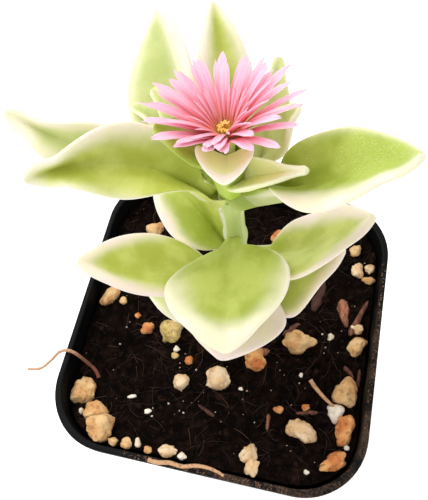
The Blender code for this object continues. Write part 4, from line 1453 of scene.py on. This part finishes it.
def raise_stamens():
    threads = Heap()
    anthers = Heap()
    foot = HEAD_FOOT + FLOWER_UP * CUP_FLOOR
    for k in range(ANTHERS):
        a = GOLDEN_TURN * k
        ring = sqrt((k + 0.5) / ANTHERS)
        out = FLOWER_RIGHT * cos(a) + FLOWER_BACK * sin(a)
        start = foot + out * ring * TUFT_RADIUS
        reach = FILAMENT_LENGTH + jitter(k, FILAMENT_SPREAD)
        end = start + (FLOWER_UP - FLOWER_BACK * 0.2 + out * 0.16 * ring).normalized() * reach
        path = smooth_path([start, start.lerp(end, 0.55) + out * FILAMENT_BOW, end], 5)
        threads.add(*skin_over(strand(path, [FILAMENT_RADIUS] * len(path), 7)), (k * 0.37) % 1.0)
        anthers.add(*lump(ANTHER_SIZE, end, a, k, 0.35), (k * 0.61) % 1.0)
    skin = Skin("filament_skin", 0.5)
    skin.colour((250, 196, 84), (skin.mark("tint"), (250, 222, 130)),
                (skin.cloud(0.0004).step(0.45, 0.7) * 0.4, (250, 170, 90)))
    threads.lay("filaments", skin, 60.0, "flower_stamens", "stamen")
    skin = Skin("anther_powder", 0.9)
    grain = skin.cells(0.00008)
    skin.colour((255, 204, 84), (skin.mark("tint"), (255, 228, 140)),
                ((1.0 - grain.step(0.1, 0.5)) * 0.4, (240, 150, 60)))
    skin.relief(grain, 0.00004, 0.8)
    anthers.lay("anthers", skin, 60.0, "flower_stamens", "stamen")


raise_stamens()


# Floor, light and camera
# A plain pale table, a white room and one large soft lamp up on the left. The camera
# looks steeply down from close by, turned a little to the right of the pot's near side.

WHITE = (1.0, 1.0, 1.0, 1.0)
TABLE_HALF = 3.0
TABLE_GLOW = 0.5
ROOM_STRENGTH = 0.86
LAMP_SIZE = 0.35
LAMP_ENERGY = 1.3
LAMP_PLACE = Vector((-0.20, 0.10, 0.46))
LOOK_AT = Vector((-0.0055, 0.0138, POT_HEIGHT))
VIEW_HEIGHT = radians(64.4)
VIEW_TURN = radians(23.1)
VIEW_ROLL = radians(-11.8)
VIEW_DISTANCE = 0.1224
LENS = 41.8
SENSOR = 36.0
NEAREST = 0.005


def lay_floor():
    skin = Skin("pale_table", 0.7, Emission_Color=WHITE, Emission_Strength=TABLE_GLOW)
    skin.colour((250, 250, 250), (skin.cloud(0.02, 3.0, 0.5), (254, 254, 254)))
    corners = [Vector((sx, sy, 0)) * TABLE_HALF for sx, sy in ((-1, -1), (1, -1), (1, 1), (-1, 1))]
    table = piece("table", corners, [(0, 1, 2, 3)], skin)


def light_room():
    world = bpy.data.worlds.new("white_room")
    bpy.context.scene.world = world
    world.use_nodes = True
    room = world.node_tree.nodes["Background"]
    room.inputs["Color"].default_value = WHITE
    room.inputs["Strength"].default_value = ROOM_STRENGTH
    lamp = bpy.data.objects.new("soft_lamp", bpy.data.lights.new("soft_lamp", "AREA"))
    lamp.data.size = LAMP_SIZE
    lamp.data.energy = LAMP_ENERGY
    lamp.location = LAMP_PLACE
    aim = Vector((0, 0, POT_HEIGHT)) - LAMP_PLACE
    lamp.rotation_euler = aim.to_track_quat("-Z", "Y").to_euler()
    bpy.context.scene.collection.objects.link(lamp)


def set_camera():
    back = Vector((sin(VIEW_TURN) * cos(VIEW_HEIGHT), -cos(VIEW_TURN) * cos(VIEW_HEIGHT),
                   sin(VIEW_HEIGHT)))
    level = back.cross(Vector((0, 0, -1))).normalized()
    upright = level.cross(-back)
    right = level * cos(VIEW_ROLL) + upright * sin(VIEW_ROLL)
    up = upright * cos(VIEW_ROLL) - level * sin(VIEW_ROLL)
    view = bpy.data.cameras.new("camera")
    view.lens = LENS
    view.sensor_width = SENSOR
    view.clip_start = NEAREST
    camera = bpy.data.objects.new("camera", view)
    turn = Matrix((right, up, back)).transposed().to_4x4()
    camera.matrix_world = Matrix.Translation(LOOK_AT + back * VIEW_DISTANCE) @ turn
    bpy.context.scene.collection.objects.link(camera)
    bpy.context.scene.camera = camera
    bpy.context.scene.view_settings.view_transform = "Standard"


lay_floor()
light_room()
set_camera()
